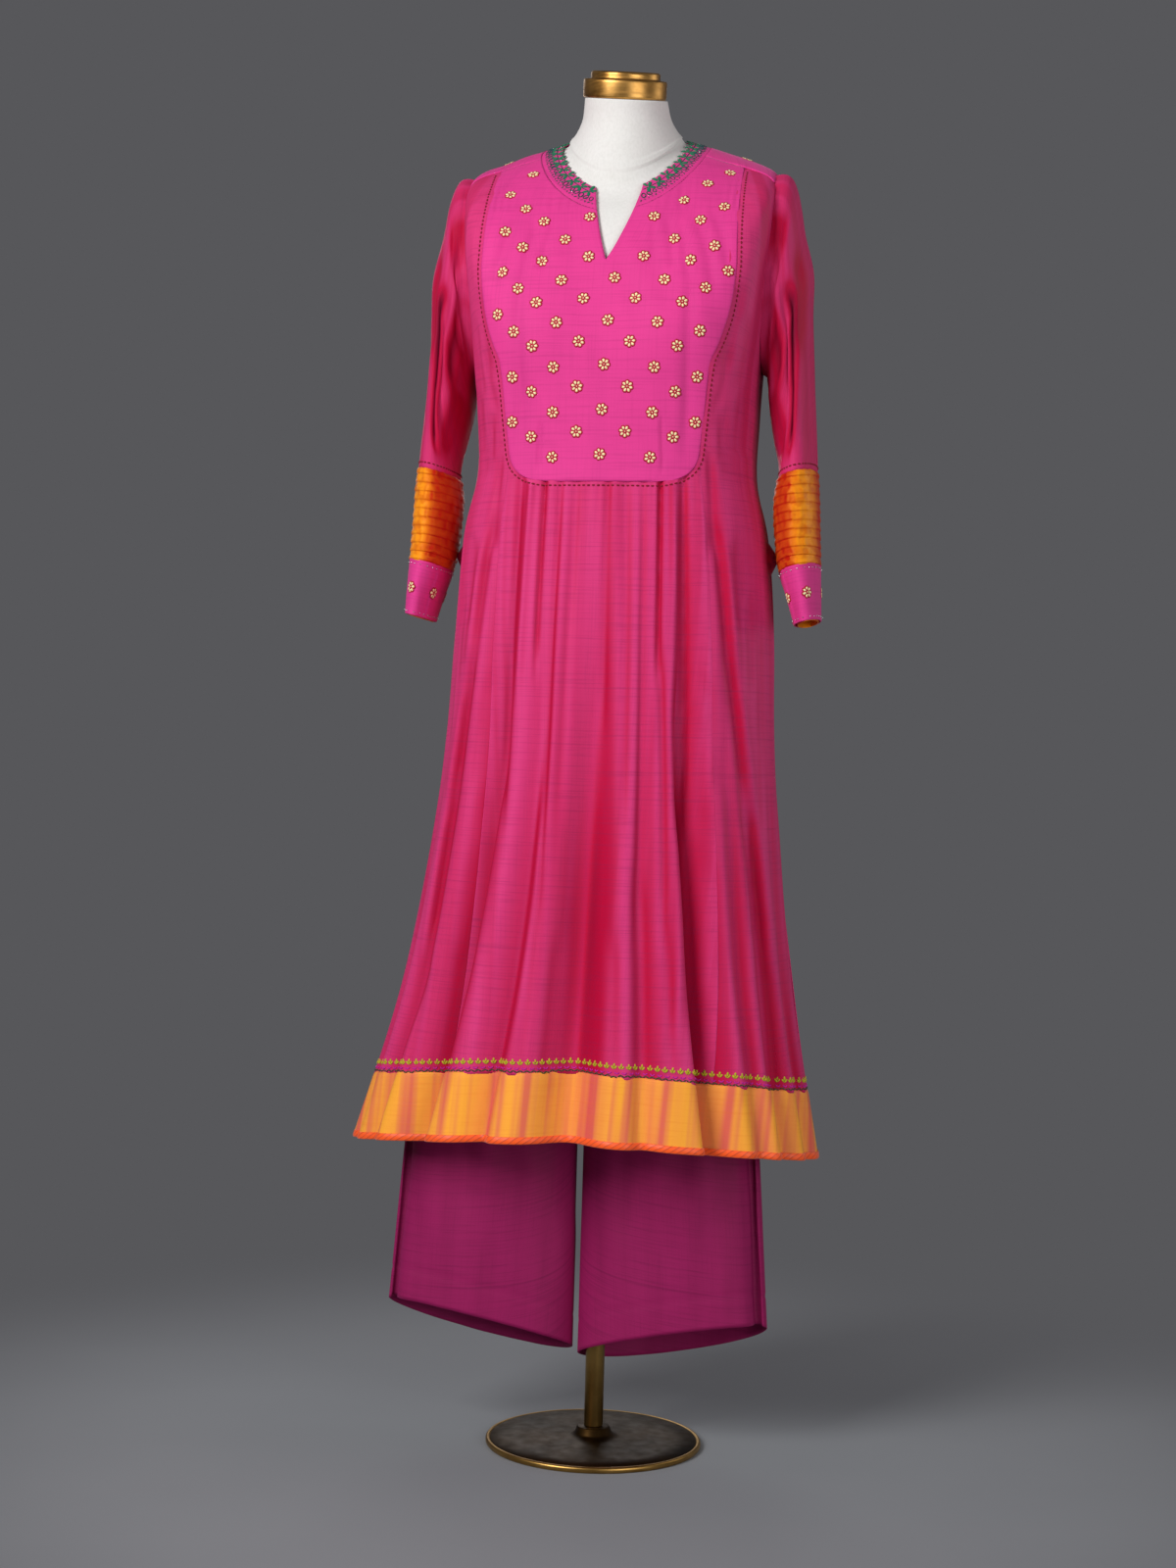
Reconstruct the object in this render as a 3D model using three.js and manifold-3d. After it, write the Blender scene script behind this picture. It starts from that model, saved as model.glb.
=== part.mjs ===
// A long flared tunic with an embroidered yoke and tucked sleeve bands over straight wide
// trousers, worn by a limbless dress form on a pole and a round base.
// Millimetres, +Z up, the floor at z = 0, the pole on the Z axis, the front facing -Y.
import * as THREE from "three";
import { mergeVertices } from "three/addons/utils/BufferGeometryUtils.js";
import Module from "manifold-3d";

const wasm = await Module();
wasm.setup();

// Driving dimensions
const CLOTH = 1.6; // thickness of every cloth wall
const SEAM = 0.3; // gap between two pieces that meet at a seam
const REST_GAP = 1.2; // nominal gap between the cloth and the form where it rests
const ROUND = 2 * Math.PI;
const DEG = Math.PI / 180;

// A table's rows with a name for each column, and the number of each named row.
function table(columns, rows) {
  return Object.values(rows).map((values) =>
    Object.fromEntries(columns.map((column, i) => [column, values[i]])));
}
function rowNumbers(rows) {
  return Object.fromEntries(Object.keys(rows).map((name, i) => [name, i]));
}

// Rings of the tunic and of the neck above it, from the top down. Each ring is a rounded oval:
// half its width, its depth to the front and back from its centre, the centre, the heights at
// side, front and back, the drop from the wearer's right to the left, and how square it is.
const RING_ROWS = {
  neckTop: [47.5, 50, 50, 2, -24, 1556, 1542, 1570, -3, 0],
  neckMiddle: [51, 53, 50, 2, -16, 1536, 1519, 1552, -1, 0],
  neckLow: [58, 61, 53, 1, -9, 1523, 1488, 1536, 0, 0],
  neckBase: [65.5, 70, 60, 0, -4, 1515, 1461, 1525, 0, 0],
  neckEdge: [74, 80, 68, 0, 0, 1509, 1437, 1516, 0, 0.05],
  bandSeam: [99, 99, 84, 0, 0, 1502, 1409, 1502, 0, 0.1],
  shoulder: [138, 114, 98, 0, 0, 1490, 1378, 1472, 0, 0.2],
  shoulderTip: [176, 125, 108, 0, 0, 1472, 1345, 1432, 0, 0.34],
  armTop: [179, 132, 114, 0, 0, 1424, 1312, 1385, 0, 0.42],
  armMiddle: [172, 138, 117, 0, 0, 1346, 1280, 1325, 0, 0.42],
  bust: [166, 140, 114, 0, 0, 1262, 1243, 1255, 0, 0.36],
  underBust: [162, 135, 108, 0, 0, 1190, 1184, 1188, 0, 0.3],
  waist: [161, 129, 104, 0, 0, 1122, 1120, 1122, 0, 0.25],
  highHip: [176.5, 131, 110, 0, 0, 1050, 1050, 1050, 0, 0.2],
  hip: [185, 138, 121, 0, 0, 935, 938, 935, 0, 0.15],
  thigh: [196, 147, 132, -2, 0, 758, 768, 758, 0, 0.1],
  knee: [226, 162, 147, -9, 0, 542, 560, 542, 0, 0.08],
  hem: [272, 181, 165, -20, 0, 344, 370, 346, 0, 0.05],
};
const COLUMNS = ["half", "front", "back", "cx", "cy", "side", "fore", "aft", "tilt", "square"];
const RINGS = table(COLUMNS, RING_ROWS);
const ROW = rowNumbers(RING_ROWS);
const HEM = ROW.hem;
const BORDER_HEIGHT = 78; // silk border with its binding
const BINDING_HEIGHT = 8;
const BINDING_PROUD = 0.5; // how far the binding stands out on each side of the border

// The skirt's troughs: the angle from centre front at the hem and at the top, the height where
// each begins, its half width in degrees, its depth, and how far it leans under its neighbour.
const FOLDS = [
  { hem: 1, top: 0, start: 1095, spread: 6.6, depth: 35, lean: 0 },
  { hem: 20, top: 15, start: 1095, spread: 3.6, depth: 12, lean: 0.3 },
  { hem: 42, top: 26, start: 1120, spread: 4.6, depth: 38, lean: 0.9 },
  { hem: 54, top: 46, start: 930, spread: 3.8, depth: 12, lean: 0.2 },
  { hem: 66, top: 60, start: 860, spread: 4.6, depth: 15, lean: 0.2 },
  { hem: 79, top: 76, start: 800, spread: 4.2, depth: 9, lean: 0 },
  { hem: -21, top: -15, start: 1095, spread: 3.4, depth: 17, lean: -0.5 },
  { hem: -44, top: -31, start: 1120, spread: 6.4, depth: 36, lean: -0.7 },
  { hem: -60, top: -50, start: 960, spread: 4.2, depth: 12, lean: -0.2 },
  { hem: -75, top: -70, start: 830, spread: 4.6, depth: 12, lean: 0 },
  { hem: 108, top: 112, start: 900, spread: 4.6, depth: 14, lean: -0.2 },
  { hem: 126, top: 130, start: 1000, spread: 4.6, depth: 22, lean: -0.5 },
  { hem: 146, top: 147, start: 1080, spread: 5, depth: 18, lean: -0.3 },
  { hem: 165, top: 164, start: 1020, spread: 4.4, depth: 20, lean: 0.3 },
  { hem: 184, top: 182, start: 1080, spread: 5, depth: 24, lean: 0 },
  { hem: 203, top: 200, start: 1040, spread: 4.4, depth: 18, lean: -0.3 },
  { hem: 222, top: 217, start: 1080, spread: 5, depth: 20, lean: 0.4 },
  { hem: 241, top: 236, start: 940, spread: 4.6, depth: 18, lean: 0.4 },
  { hem: 259, top: 256, start: 860, spread: 4.4, depth: 10, lean: 0 },
];
const FOLD_END = 350; // height at which a fold is full

// The side seam pocket's mouth, where the front panel's edge stands away from the back one.
const POCKET = { z: 1030, reach: 20, width: 7, gape: 11 };

// The bust's fullness under the yoke.
const BUST = { x: 84, z: 1272, radius: 52, fullness: 7 };

const smooth = (t) => {
  const c = Math.min(1, Math.max(0, t));
  return c * c * (3 - 2 * c);
};
const mix = (a, b, t) => a + (b - a) * t;

// A table's columns at a fractional row, on one smooth curve through the rows.
function rowAt(rings, columns, row) {
  const last = rings.length - 1;
  const i = Math.min(last - 1, Math.max(0, Math.floor(row)));
  const t = row - i;
  const [p, q] = [rings[Math.max(0, i - 1)], rings[i]];
  const [r, s] = [rings[i + 1], rings[Math.min(last, i + 2)]];
  const found = {};
  for (const c of columns) {
    const m0 = (r[c] - p[c]) / (i > 0 ? 2 : 1);
    const m1 = (s[c] - q[c]) / (i + 2 <= last ? 2 : 1);
    found[c] = (2 * t ** 3 - 3 * t ** 2 + 1) * q[c] + (t ** 3 - 2 * t ** 2 + t) * m0
      + (3 * t ** 2 - 2 * t ** 3) * r[c] + (t ** 3 - t ** 2) * m1;
  }
  return found;
}

// A point of the plain figure at an angle from centre front (in radians) and a ring row.
function figure(angle, row) {
  const g = rowAt(RINGS, COLUMNS, row);
  const c = Math.cos(angle);
  const s = Math.sin(angle);
  const mean = (g.front + g.back) / 2;
  const lead = (g.front - g.back) / 2;
  const x = g.cx + g.half * s * (1 + g.square * c * c);
  const y = g.cy - (mean * c * (1 + g.square * s * s) + lead * c * c);
  const level = (g.fore + g.aft) / 2;
  const z = (level + g.side) / 2 + ((g.fore - g.aft) / 2) * c
    + ((level - g.side) / 2) * Math.cos(2 * angle) + g.tilt * s;
  const point = new THREE.Vector3(x, y, z);
  if (c > 0) {
    const near = ((Math.abs(x) - BUST.x) ** 2 + (z - BUST.z) ** 2) / BUST.radius ** 2;
    point.y -= BUST.fullness * Math.exp(-near);
  }
  return point;
}

// The direction in which a surface faces, from its neighbouring points.
function facing(surface, u, v, du, dv) {
  const along = surface(u + du, v).sub(surface(u - du, v));
  const down = surface(u, v + dv).sub(surface(u, v - dv));
  return down.cross(along).normalize();
}

const figureFacing = (angle, row) => facing(figure, angle, row, 0.01, 0.02);

// The tunic's outer surface: the figure with the skirt's folds.
function tunic(angle, row) {
  const point = figure(angle, row);
  const out = figureFacing(angle, row);
  out.z = 0;
  out.normalize();
  const side = new THREE.Vector3(-out.y, out.x, 0);
  let push = 0;
  let shift = 0;
  for (const f of FOLDS) {
    const grown = Math.min(1, Math.max(0, (f.start - point.z) / (f.start - FOLD_END)));
    if (grown <= 0) continue;
    const centre = mix(f.top, f.hem, grown) * DEG;
    const away = Math.atan2(Math.sin(angle - centre), Math.cos(angle - centre)) / (f.spread * DEG);
    const h = -f.depth * smooth(grown ** 0.8) * Math.exp(-away * away);
    push += h;
    shift += f.lean * h;
  }
  return point.addScaledVector(out, push).addScaledVector(side, shift);
}

// The front's edge at the pocket, bowed away from the side seam.
function frontCloth(angle, row) {
  const point = tunic(angle, row);
  const near = Math.max(0, 1 - Math.abs(point.z - POCKET.z) / POCKET.reach);
  const edge = Math.max(0, 1 - (Math.PI / 2 - Math.abs(angle)) / (POCKET.width * DEG));
  point.x += Math.sign(angle) * POCKET.gape * near * edge;
  return point;
}

// The row at which a surface passes a height, at one angle.
function rowOfHeight(surface, angle, z, low = ROW.bandSeam, high = HEM) {
  let [a, b] = [low, high];
  for (let i = 0; i < 40; i++) {
    const m = (a + b) / 2;
    if (surface(angle, m).z > z) a = m;
    else b = m;
  }
  return (a + b) / 2;
}

// The row at a height above the hem, which keeps the border's seams parallel to it.
const hemRow = (angle, height) =>
  rowOfHeight(figure, angle, figure(angle, HEM).z + height, ROW.thigh, HEM);

// Rows of the skirt panels, drawn in from the high hip down so that the last is the border's seam.
function panelRow(angle, row) {
  if (row <= ROW.highHip) return row;
  const lowest = hemRow(angle, BORDER_HEIGHT + 2 * SEAM);
  return mix(ROW.highHip, lowest, (row - ROW.highHip) / (HEM - ROW.highHip));
}

// The ring rows that each piece is drawn on
const SKIRT_ROWS = [13, 13.8, 14.6, 15.3, 16, 16.5, HEM];
const SHOULDER_ROWS = [5.012, 5.5, 6, 6.5, 7, 7.4, 8, 8.8];
const BAND_ROWS = [ROW.neckEdge, 4.5, 4.988];
const YOKE_ROWS = [...SHOULDER_ROWS, 9.7, 10.4, 11.3, 12.1, 12.6];
const POCKET_ROWS = [13, 13.2, 13.36];
const SIDE_ROWS = [...SHOULDER_ROWS.slice(2), 9.7, 10.6, 11.4, 12.3, ...POCKET_ROWS, ...SKIRT_ROWS.slice(1)];
const FRONT_SKIRT_ROWS = [ROW.underBust, 11.4, 12.3, ...SKIRT_ROWS];
const BACK_YOKE_ROWS = [...SHOULDER_ROWS, 9.7];
const BACK_ROWS = [...SHOULDER_ROWS.slice(5), 9.7, 10.6, 11.4, 12.3, ...SKIRT_ROWS];
const BODY_ROWS = [5, 5.5, 6, 6.35, 6.7, 7, 7.25, 7.5, 8, 8.5, 9, 9.5, 10, 10.5, 11];
const BODY_SIDES = 90;
const SLEEVE_ROWS = [0, 0.7, 1.5, 2.4, 3.4, 4.4, 5.4, 6.4, 7.3, 8];
const TROUSER_ROWS = [0, 2, 4, 4.8, 5.6, 6.3, 7, 8, 9, 10];
const FORM_ROWS = [
  0, 0.8, 1.6, 2.4, 3.2, 4, 4.8, 5.6, 6.3, 7, 7.5, 8.2, 9, 10, 11, 12, 12.3, 12.6, 13, 14.45,
];
const ROW_GAP = 0.006; // half a seam between two stretches of sleeve, in rows
const ELBOW_GAP = 0.004;

// Columns of the front's panels and of the back, which the border below them repeats.
const COLUMNS_ACROSS = { neckBand: 32, yoke: 20, side: 13, skirt: 26, back: 36, backYoke: 24 };
const TROUSER_COLUMNS_ACROSS = 9;
const SLEEVE_SIDES = 14;

// A closed wall on a surface: surface(u, v) for u and v from 0 to 1, moved out from depth to
// top along its facing. A round wall joins its two sides.
function wall(surface, across, downs, { depth = -CLOTH, top = 0, round = false, flip = 1 } = {}) {
  const evenly = (count) => Array.from({ length: count + 1 }, (_, i) => i / count);
  const rows = Array.isArray(downs) ? downs : evenly(downs);
  const cols = Array.isArray(across) ? across : evenly(across);
  const n = round ? cols.length - 1 : cols.length;
  const positions = [];
  for (const level of [top, depth])
    for (const v of rows)
      for (let i = 0; i < n; i++) {
        const u = cols[i];
        const p = surface(u, v);
        const out = facing(surface, u, v, 1e-3, 1e-3).multiplyScalar(flip);
        p.addScaledVector(out, level);
        positions.push(p.x, p.y, p.z);
      }
  const faces = [];
  const at = (layer, j, i) => (layer * rows.length + j) * n + (i % n);
  const quad = (a, b, c, d) => {
    if (flip > 0) faces.push(a, b, c, a, c, d);
    else faces.push(a, c, b, a, d, c);
  };
  const last = round ? n : n - 1;
  for (let j = 0; j + 1 < rows.length; j++)
    for (let i = 0; i < last; i++) {
      quad(at(0, j, i), at(0, j + 1, i), at(0, j + 1, i + 1), at(0, j, i + 1));
      quad(at(1, j, i), at(1, j, i + 1), at(1, j + 1, i + 1), at(1, j + 1, i));
    }
  const end = rows.length - 1;
  for (let i = 0; i < last; i++) {
    quad(at(0, 0, i), at(0, 0, i + 1), at(1, 0, i + 1), at(1, 0, i));
    quad(at(0, end, i), at(1, end, i), at(1, end, i + 1), at(0, end, i + 1));
  }
  if (!round)
    for (let j = 0; j < end; j++) {
      quad(at(0, j, 0), at(1, j, 0), at(1, j + 1, 0), at(0, j + 1, 0));
      quad(at(0, j, last), at(0, j + 1, last), at(1, j + 1, last), at(1, j, last));
    }
  const geometry = new THREE.BufferGeometry();
  geometry.setAttribute("position", new THREE.Float32BufferAttribute(positions, 3));
  geometry.setIndex(faces);
  return geometry;
}

// A filled loft: rings of points from the top down, closed by a flat fan at each end.
function loft(rings) {
  const n = rings[0].length;
  const middle = (ring) => ring.reduce((sum, p) => sum.add(p), new THREE.Vector3()).divideScalar(n);
  const points = [...rings.flat(), middle(rings[0]), middle(rings.at(-1))];
  const faces = [];
  for (let j = 0; j + 1 < rings.length; j++)
    for (let i = 0; i < n; i++) {
      const [a, b] = [j * n + i, j * n + ((i + 1) % n)];
      faces.push(a, a + n, b + n, a, b + n, b);
    }
  const [topMiddle, endMiddle] = [points.length - 2, points.length - 1];
  const lastRing = (rings.length - 1) * n;
  for (let i = 0; i < n; i++) {
    faces.push(topMiddle, i, (i + 1) % n);
    faces.push(endMiddle, lastRing + ((i + 1) % n), lastRing + i);
  }
  const geometry = new THREE.BufferGeometry();
  const positions = points.flatMap((p) => p.toArray());
  geometry.setAttribute("position", new THREE.Float32BufferAttribute(positions, 3));
  geometry.setIndex(faces);
  return geometry;
}

// Between a three.js geometry and a solid that can be cut.
function solid(geometry) {
  const plain = new THREE.BufferGeometry();
  plain.setAttribute("position", geometry.getAttribute("position"));
  plain.setIndex(geometry.index);
  const merged = mergeVertices(plain, 1e-4);
  return new wasm.Manifold(new wasm.Mesh({
    numProp: 3,
    vertProperties: new Float32Array(merged.attributes.position.array),
    triVerts: new Uint32Array(merged.index.array),
  }));
}

function geometryOf(made) {
  const { vertProperties, triVerts } = made.getMesh();
  const geometry = new THREE.BufferGeometry();
  geometry.setAttribute("position", new THREE.BufferAttribute(new Float32Array(vertProperties), 3));
  geometry.setIndex(new THREE.BufferAttribute(new Uint32Array(triVerts), 1));
  return geometry;
}

// The largest body of a cut solid, without the slivers that a cut can leave.
function largest(made) {
  return made.decompose().sort((a, b) => b.volume() - a.volume())[0];
}

// An outline in front view, extruded from the front to the back of the body.
const DEEP = 700;
function frontPrism(shape) {
  const options = { depth: DEEP, bevelEnabled: false, curveSegments: 8 };
  const geometry = new THREE.ExtrudeGeometry(shape, options);
  return solid(geometry.rotateX(Math.PI / 2).translate(0, DEEP / 2, 0));
}

// All of the space above a height.
function above(z) {
  return solid(new THREE.BoxGeometry(DEEP, DEEP, DEEP).translate(0, 0, z + DEEP / 2));
}

// An outline in side view, extruded outwards from inside the shoulder.
const SIDE_CUT_FROM = 110;
function sidePrism(shape, side) {
  const options = { depth: DEEP / 2, bevelEnabled: false, curveSegments: 16 };
  const geometry = new THREE.ExtrudeGeometry(shape, options);
  geometry.rotateX(Math.PI / 2).rotateZ(Math.PI / 2);
  return solid(geometry.translate(side > 0 ? SIDE_CUT_FROM : -SIDE_CUT_FROM - DEEP / 2, 0, 0));
}

// The yoke's edge: a round corner at the bottom, a step out over the bust, then up to the
// shoulder. grow widens it for the pieces that meet it.
const YOKE = {
  bottom: 1102, flat: 58, lowX: 108, lowZ: 1140, waistX: 114, waistLowZ: 1190, waistZ: 1215,
  stepX: 120, stepZ: 1240, underBustX: 136, underBustZ: 1272, bustX: 144, bustLowZ: 1305,
  bustZ: 1345, topX: 141, topZ: 1480, pastZ: 1600,
};
function yokeOutline(grow) {
  const y = YOKE;
  const shape = new THREE.Shape();
  const half = (sign, draw) => draw((x) => sign * (x + grow));
  shape.moveTo(0, y.bottom - grow);
  half(1, (x) => {
    shape.lineTo(x(y.flat), y.bottom - grow);
    shape.quadraticCurveTo(x(y.lowX - 2), y.bottom - grow, x(y.lowX), y.lowZ);
    shape.bezierCurveTo(x(y.waistX), y.waistLowZ, x(y.waistX), y.waistZ, x(y.stepX), y.stepZ);
    shape.bezierCurveTo(
      x(y.underBustX), y.underBustZ, x(y.bustX - 2), y.bustLowZ, x(y.bustX), y.bustZ);
    shape.lineTo(x(y.topX), y.topZ);
    shape.lineTo(x(y.topX), y.pastZ);
  });
  half(-1, (x) => {
    shape.lineTo(x(y.topX), y.pastZ);
    shape.lineTo(x(y.topX), y.topZ);
    shape.lineTo(x(y.bustX), y.bustZ);
    shape.bezierCurveTo(
      x(y.bustX - 2), y.bustLowZ, x(y.underBustX), y.underBustZ, x(y.stepX), y.stepZ);
    shape.bezierCurveTo(x(y.waistX), y.waistZ, x(y.waistX), y.waistLowZ, x(y.lowX), y.lowZ);
    shape.quadraticCurveTo(x(y.lowX - 2), y.bottom - grow, x(y.flat), y.bottom - grow);
  });
  shape.closePath();
  return shape;
}

// The neck slit, a little off square as it hangs.
const SLIT = { topX: 4, topHalf: 26, topZ: 1437, endX: -1.5, endZ: 1349, bow: 0.72, flare: 3, pastZ: 1470 };
function slitOutline() {
  const s = SLIT;
  const shape = new THREE.Shape();
  const middle = mix(s.endZ, s.topZ, 0.5);
  const [bowed, past] = [s.bow * s.topHalf, s.topHalf + s.flare];
  shape.moveTo(s.endX, s.endZ);
  shape.quadraticCurveTo(s.topX + bowed, middle, s.topX + s.topHalf, s.topZ);
  shape.lineTo(s.topX + past, s.pastZ);
  shape.lineTo(s.topX - past, s.pastZ);
  shape.lineTo(s.topX - s.topHalf, s.topZ);
  shape.quadraticCurveTo(s.topX - bowed, middle, s.endX, s.endZ);
  return shape;
}

// Angle of the seam between front and back at a row: just ahead of the shoulder, then the side.
const FRONT_SEAM = { shoulder: 76, side: 90, rows: 1.5 };
function sideSeam(row) {
  const share = smooth((row - ROW.shoulderTip) / FRONT_SEAM.rows);
  return mix(FRONT_SEAM.shoulder, FRONT_SEAM.side, share) * DEG;
}

// Angle of the seam between the gathered centre front and the side panel, which spreads to the hem.
const PRINCESS = { top: 35.5, hem: 44 };
function princess(row) {
  const share = smooth((row - ROW.waist) / (HEM - ROW.waist));
  return mix(PRINCESS.top, PRINCESS.hem, share) * DEG;
}

// Half the seam gap as an angle, at the figure's width.
const gapAngle = (row) => SEAM / 2 / rowAt(RINGS, ["back"], row).back;

// The sleeve's rings from armhole to wrist: where each passes the inner and outer side in front
// view, its half depth from front to back, and its centre's place ahead of the pole.
const SLEEVE_RINGS = {
  armhole: [165, 1243, 165, 1468, 66, 0],
  head: [171, 1238, 190, 1471, 68, 0],
  cap: [172, 1233, 202, 1449, 70, 0],
  capLow: [172.5, 1227, 210, 1404, 71, 0],
  biceps: [173, 1219, 221, 1357, 71, 0],
  arm: [174, 1209, 222, 1305, 70, 0],
  armLow: [176, 1193, 225, 1245, 68, -1],
  aboveElbow: [182, 1161, 228.5, 1183, 65, -4],
  elbow: [188, 1129, 231, 1140, 61, -7],
  forearm: [184, 1090, 234, 1099, 60, -10],
  bandLow: [188, 1037, 236.5, 1046, 57, -13],
  bandEnd: [193, 1012, 237.5, 1022, 55, -15],
  cuff: [203, 983, 239, 992, 52, -17],
  wrist: [211, 956, 240, 963, 49, -18],
  facing: [212.4, 951, 240.2, 958, 48.4, -18.2],
};
const SLEEVE_COLUMNS = ["inX", "inZ", "outX", "outZ", "deep", "cy"];
const SLEEVE = table(SLEEVE_COLUMNS, SLEEVE_RINGS);
const S = rowNumbers(SLEEVE_RINGS);
// Drape troughs of the sleeve: angle round from the outer side through the front, by row.
const SLEEVE_DRAPES = [
  { from: 2.2, to: 8, angles: [98, 95, 92, 92, 98, 122, 158], spread: 17, depth: 9 },
  { from: 2.6, to: 7.8, angles: [262, 266, 268, 262, 240, 205], spread: 19, depth: 8 },
];

function sleeveBase(around, row) {
  const g = rowAt(SLEEVE, SLEEVE_COLUMNS, row);
  const c = Math.cos(around);
  return new THREE.Vector3(
    (g.inX + g.outX) / 2 + ((g.outX - g.inX) / 2) * c,
    g.cy - g.deep * Math.sin(around),
    (g.inZ + g.outZ) / 2 + ((g.outZ - g.inZ) / 2) * c,
  );
}

// A list of values read at a share from 0 to 1 of its length.
function along(values, share) {
  const at = Math.min(0.9999, Math.max(0, share)) * (values.length - 1);
  const i = Math.floor(at);
  return mix(values[i], values[i + 1], at - i);
}

function sleeveCloth(around, row) {
  const point = sleeveBase(around, row);
  const out = facing(sleeveBase, around, row, 0.01, 0.02).negate();
  let push = 0;
  for (const d of SLEEVE_DRAPES) {
    const share = (row - d.from) / (d.to - d.from);
    if (share <= 0 || share >= 1) continue;
    const centre = along(d.angles, share) * DEG;
    const away = Math.atan2(Math.sin(around - centre), Math.cos(around - centre)) / (d.spread * DEG);
    push -= d.depth * smooth(3 * share) * smooth(3 * (1 - share)) * Math.exp(-away * away);
  }
  return point.addScaledVector(out, push);
}

// A stretch of sleeve between two rows. It is made for the wearer's left and mirrored.
function sleeveTube(from, to, rows, options = {}) {
  const surface = (u, v) => sleeveCloth(u * ROUND, mix(from, to, v));
  return wall(surface, SLEEVE_SIDES, rows, { round: true, flip: -1, ...options });
}

// Trousers: heights, half the whole width from the middle seam, depths, the middle seam's place,
// how far the half has closed into a leg, and the gap between the legs.
const TROUSER_RINGS = {
  top: [1084.6, 142.5, 104, 85, 0.22, 0, 0, 0],
  highHip: [1045, 153, 109, 94, 0.2, 0, 0, 0],
  hipTop: [995, 162, 116, 100, 0.18, 0, 0, 0],
  hip: [940, 171, 120, 109, 0.16, 0, 0, 0],
  seat: [890, 174, 120, 113, 0.12, 0, 0, 0],
  rise: [840, 172, 111, 110, 0, -6, 0.5, 0],
  fork: [798, 169, 98, 98, 0, -13, 0.9, 0],
  crotch: [762, 166, 84, 88, 0, -18, 1, 0.4],
  thigh: [600, 182, 68, 74, 0, -21, 1, 2],
  knee: [400, 204, 60, 66, 0, -23, 1, 3],
  hem: [150, 223, 52, 54, 0, -24, 1, 3],
};
const TROUSER_COLUMNS = ["z", "reach", "front", "back", "square", "mid", "leg", "apart"];
const TROUSERS = table(TROUSER_COLUMNS, TROUSER_RINGS);
const T = rowNumbers(TROUSER_RINGS);
// How far the hem hangs below its outer edge at the front, inside the leg and at the back, and
// how much lower the wearer's left leg hangs than the right.
const TROUSER_HEM = { front: 3, inner: 42, back: 46, sway: 8 };
// A narrow pressed groove beside the outer edge of each leg.
const GROOVE = { angle: 24, spread: 8, depth: 10, start: 620, grows: 250 };

// One half of the trousers: share 0 at the outer seam, 1 at the middle or inner seam.
function trouserCloth(side, isFront) {
  return (share, row) => {
    const g = rowAt(TROUSERS, TROUSER_COLUMNS, row);
    const inner = g.apart + SEAM / 2;
    const radius = mix(g.reach, (g.reach - inner) / 2, Math.min(1, g.leg));
    const centre = mix(0, (g.reach + inner) / 2, Math.min(1, g.leg));
    const end = Math.acos(Math.max(-1, Math.min(1, (inner - centre) / radius)));
    const edge = SEAM / 1.6 / Math.min(radius, g.back);
    const around = mix(edge, g.leg >= 0.999 ? end - edge : end, share);
    const [c, s] = [Math.cos(around), Math.sin(around)];
    const fall = smooth((row - T.thigh) / (T.hem - T.thigh));
    const middle = (isFront ? TROUSER_HEM.front : TROUSER_HEM.back) - TROUSER_HEM.inner / 2;
    const drop = (TROUSER_HEM.inner * (1 - c)) / 2 + middle * s + (side * TROUSER_HEM.sway) / 2;
    const z = g.z - fall * drop;
    const grown = smooth((GROOVE.start - g.z) / GROOVE.grows);
    const away = (around / DEG - GROOVE.angle) / GROOVE.spread;
    const dent = isFront ? GROOVE.depth * grown * Math.exp(-(away ** 2)) : 0;
    const depth = (isFront ? g.front : g.back) - dent / Math.max(0.35, s);
    const x = centre + radius * c * (c > 0 ? 1 + g.square * s * s : 1);
    const y = depth * s * (1 + g.square * c * c);
    return new THREE.Vector3(g.mid + side * x, isFront ? -y : y, z);
  };
}

// The dress form under the cloth: how far it stands inside the figure, by ring row.
const INSETS = [0, 0, 0, 1.6, 3, 3, 3, 4.4, 8, 6, 4, 14, 31, 32, 28, 36];
const FORM_INSET = INSETS.map((inset) => ({ inset }));
const FORM = { sides: 28, underside: 838 };
const UNDERSIDE = [
  { inward: 8, drop: 0.45 },
  { inward: 26, drop: 0.85 },
  { inward: 50, drop: 1 },
];

function formPoint(angle, row, out = 0) {
  const inset = row < ROW.neckBase ? 0 : Math.max(0, rowAt(FORM_INSET, ["inset"], row).inset);
  return figure(angle, row).addScaledVector(figureFacing(angle, row), out - inset);
}

// Materials
function finish(color, roughness, metalness = 0) {
  return new THREE.MeshStandardMaterial({ color, roughness, metalness });
}
const MAGENTA = finish(0xc2306e, 0.5);
const YOKE_PINK = finish(0xd8408a, 0.7);
const ORANGE_SILK = finish(0xe8842a, 0.42);
const BINDING_ORANGE = finish(0xe85a14, 0.6);
const TROUSER_PLUM = finish(0x8c1a5c, 0.75);
const FORM_WHITE = finish(0xe2e0dc, 0.8);
const BRASS = finish(0x9c7434, 0.35, 0.9);

const group = new THREE.Group();
function add(name, geometry, material) {
  const mesh = new THREE.Mesh(geometry, material);
  mesh.name = name;
  group.add(mesh);
  return mesh;
}
const addSolid = (name, made, material) => add(name, geometryOf(largest(made)), material);

// Rows of a panel, as shares between its first and last row.
const shares = (from, to, rows) => rows.map((row) => (row - from) / (to - from));

// The armhole in side view, as wide as the sleeve's inside.
function armholeCut(side) {
  const hole = SLEEVE[S.armhole];
  const shape = new THREE.Shape();
  const [deep, tall] = [hole.deep - CLOTH, (hole.outZ - hole.inZ) / 2 - CLOTH];
  shape.absellipse(0, (hole.outZ + hole.inZ) / 2, deep, tall, 0, ROUND, false, 0);
  return sidePrism(shape, side);
}

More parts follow.
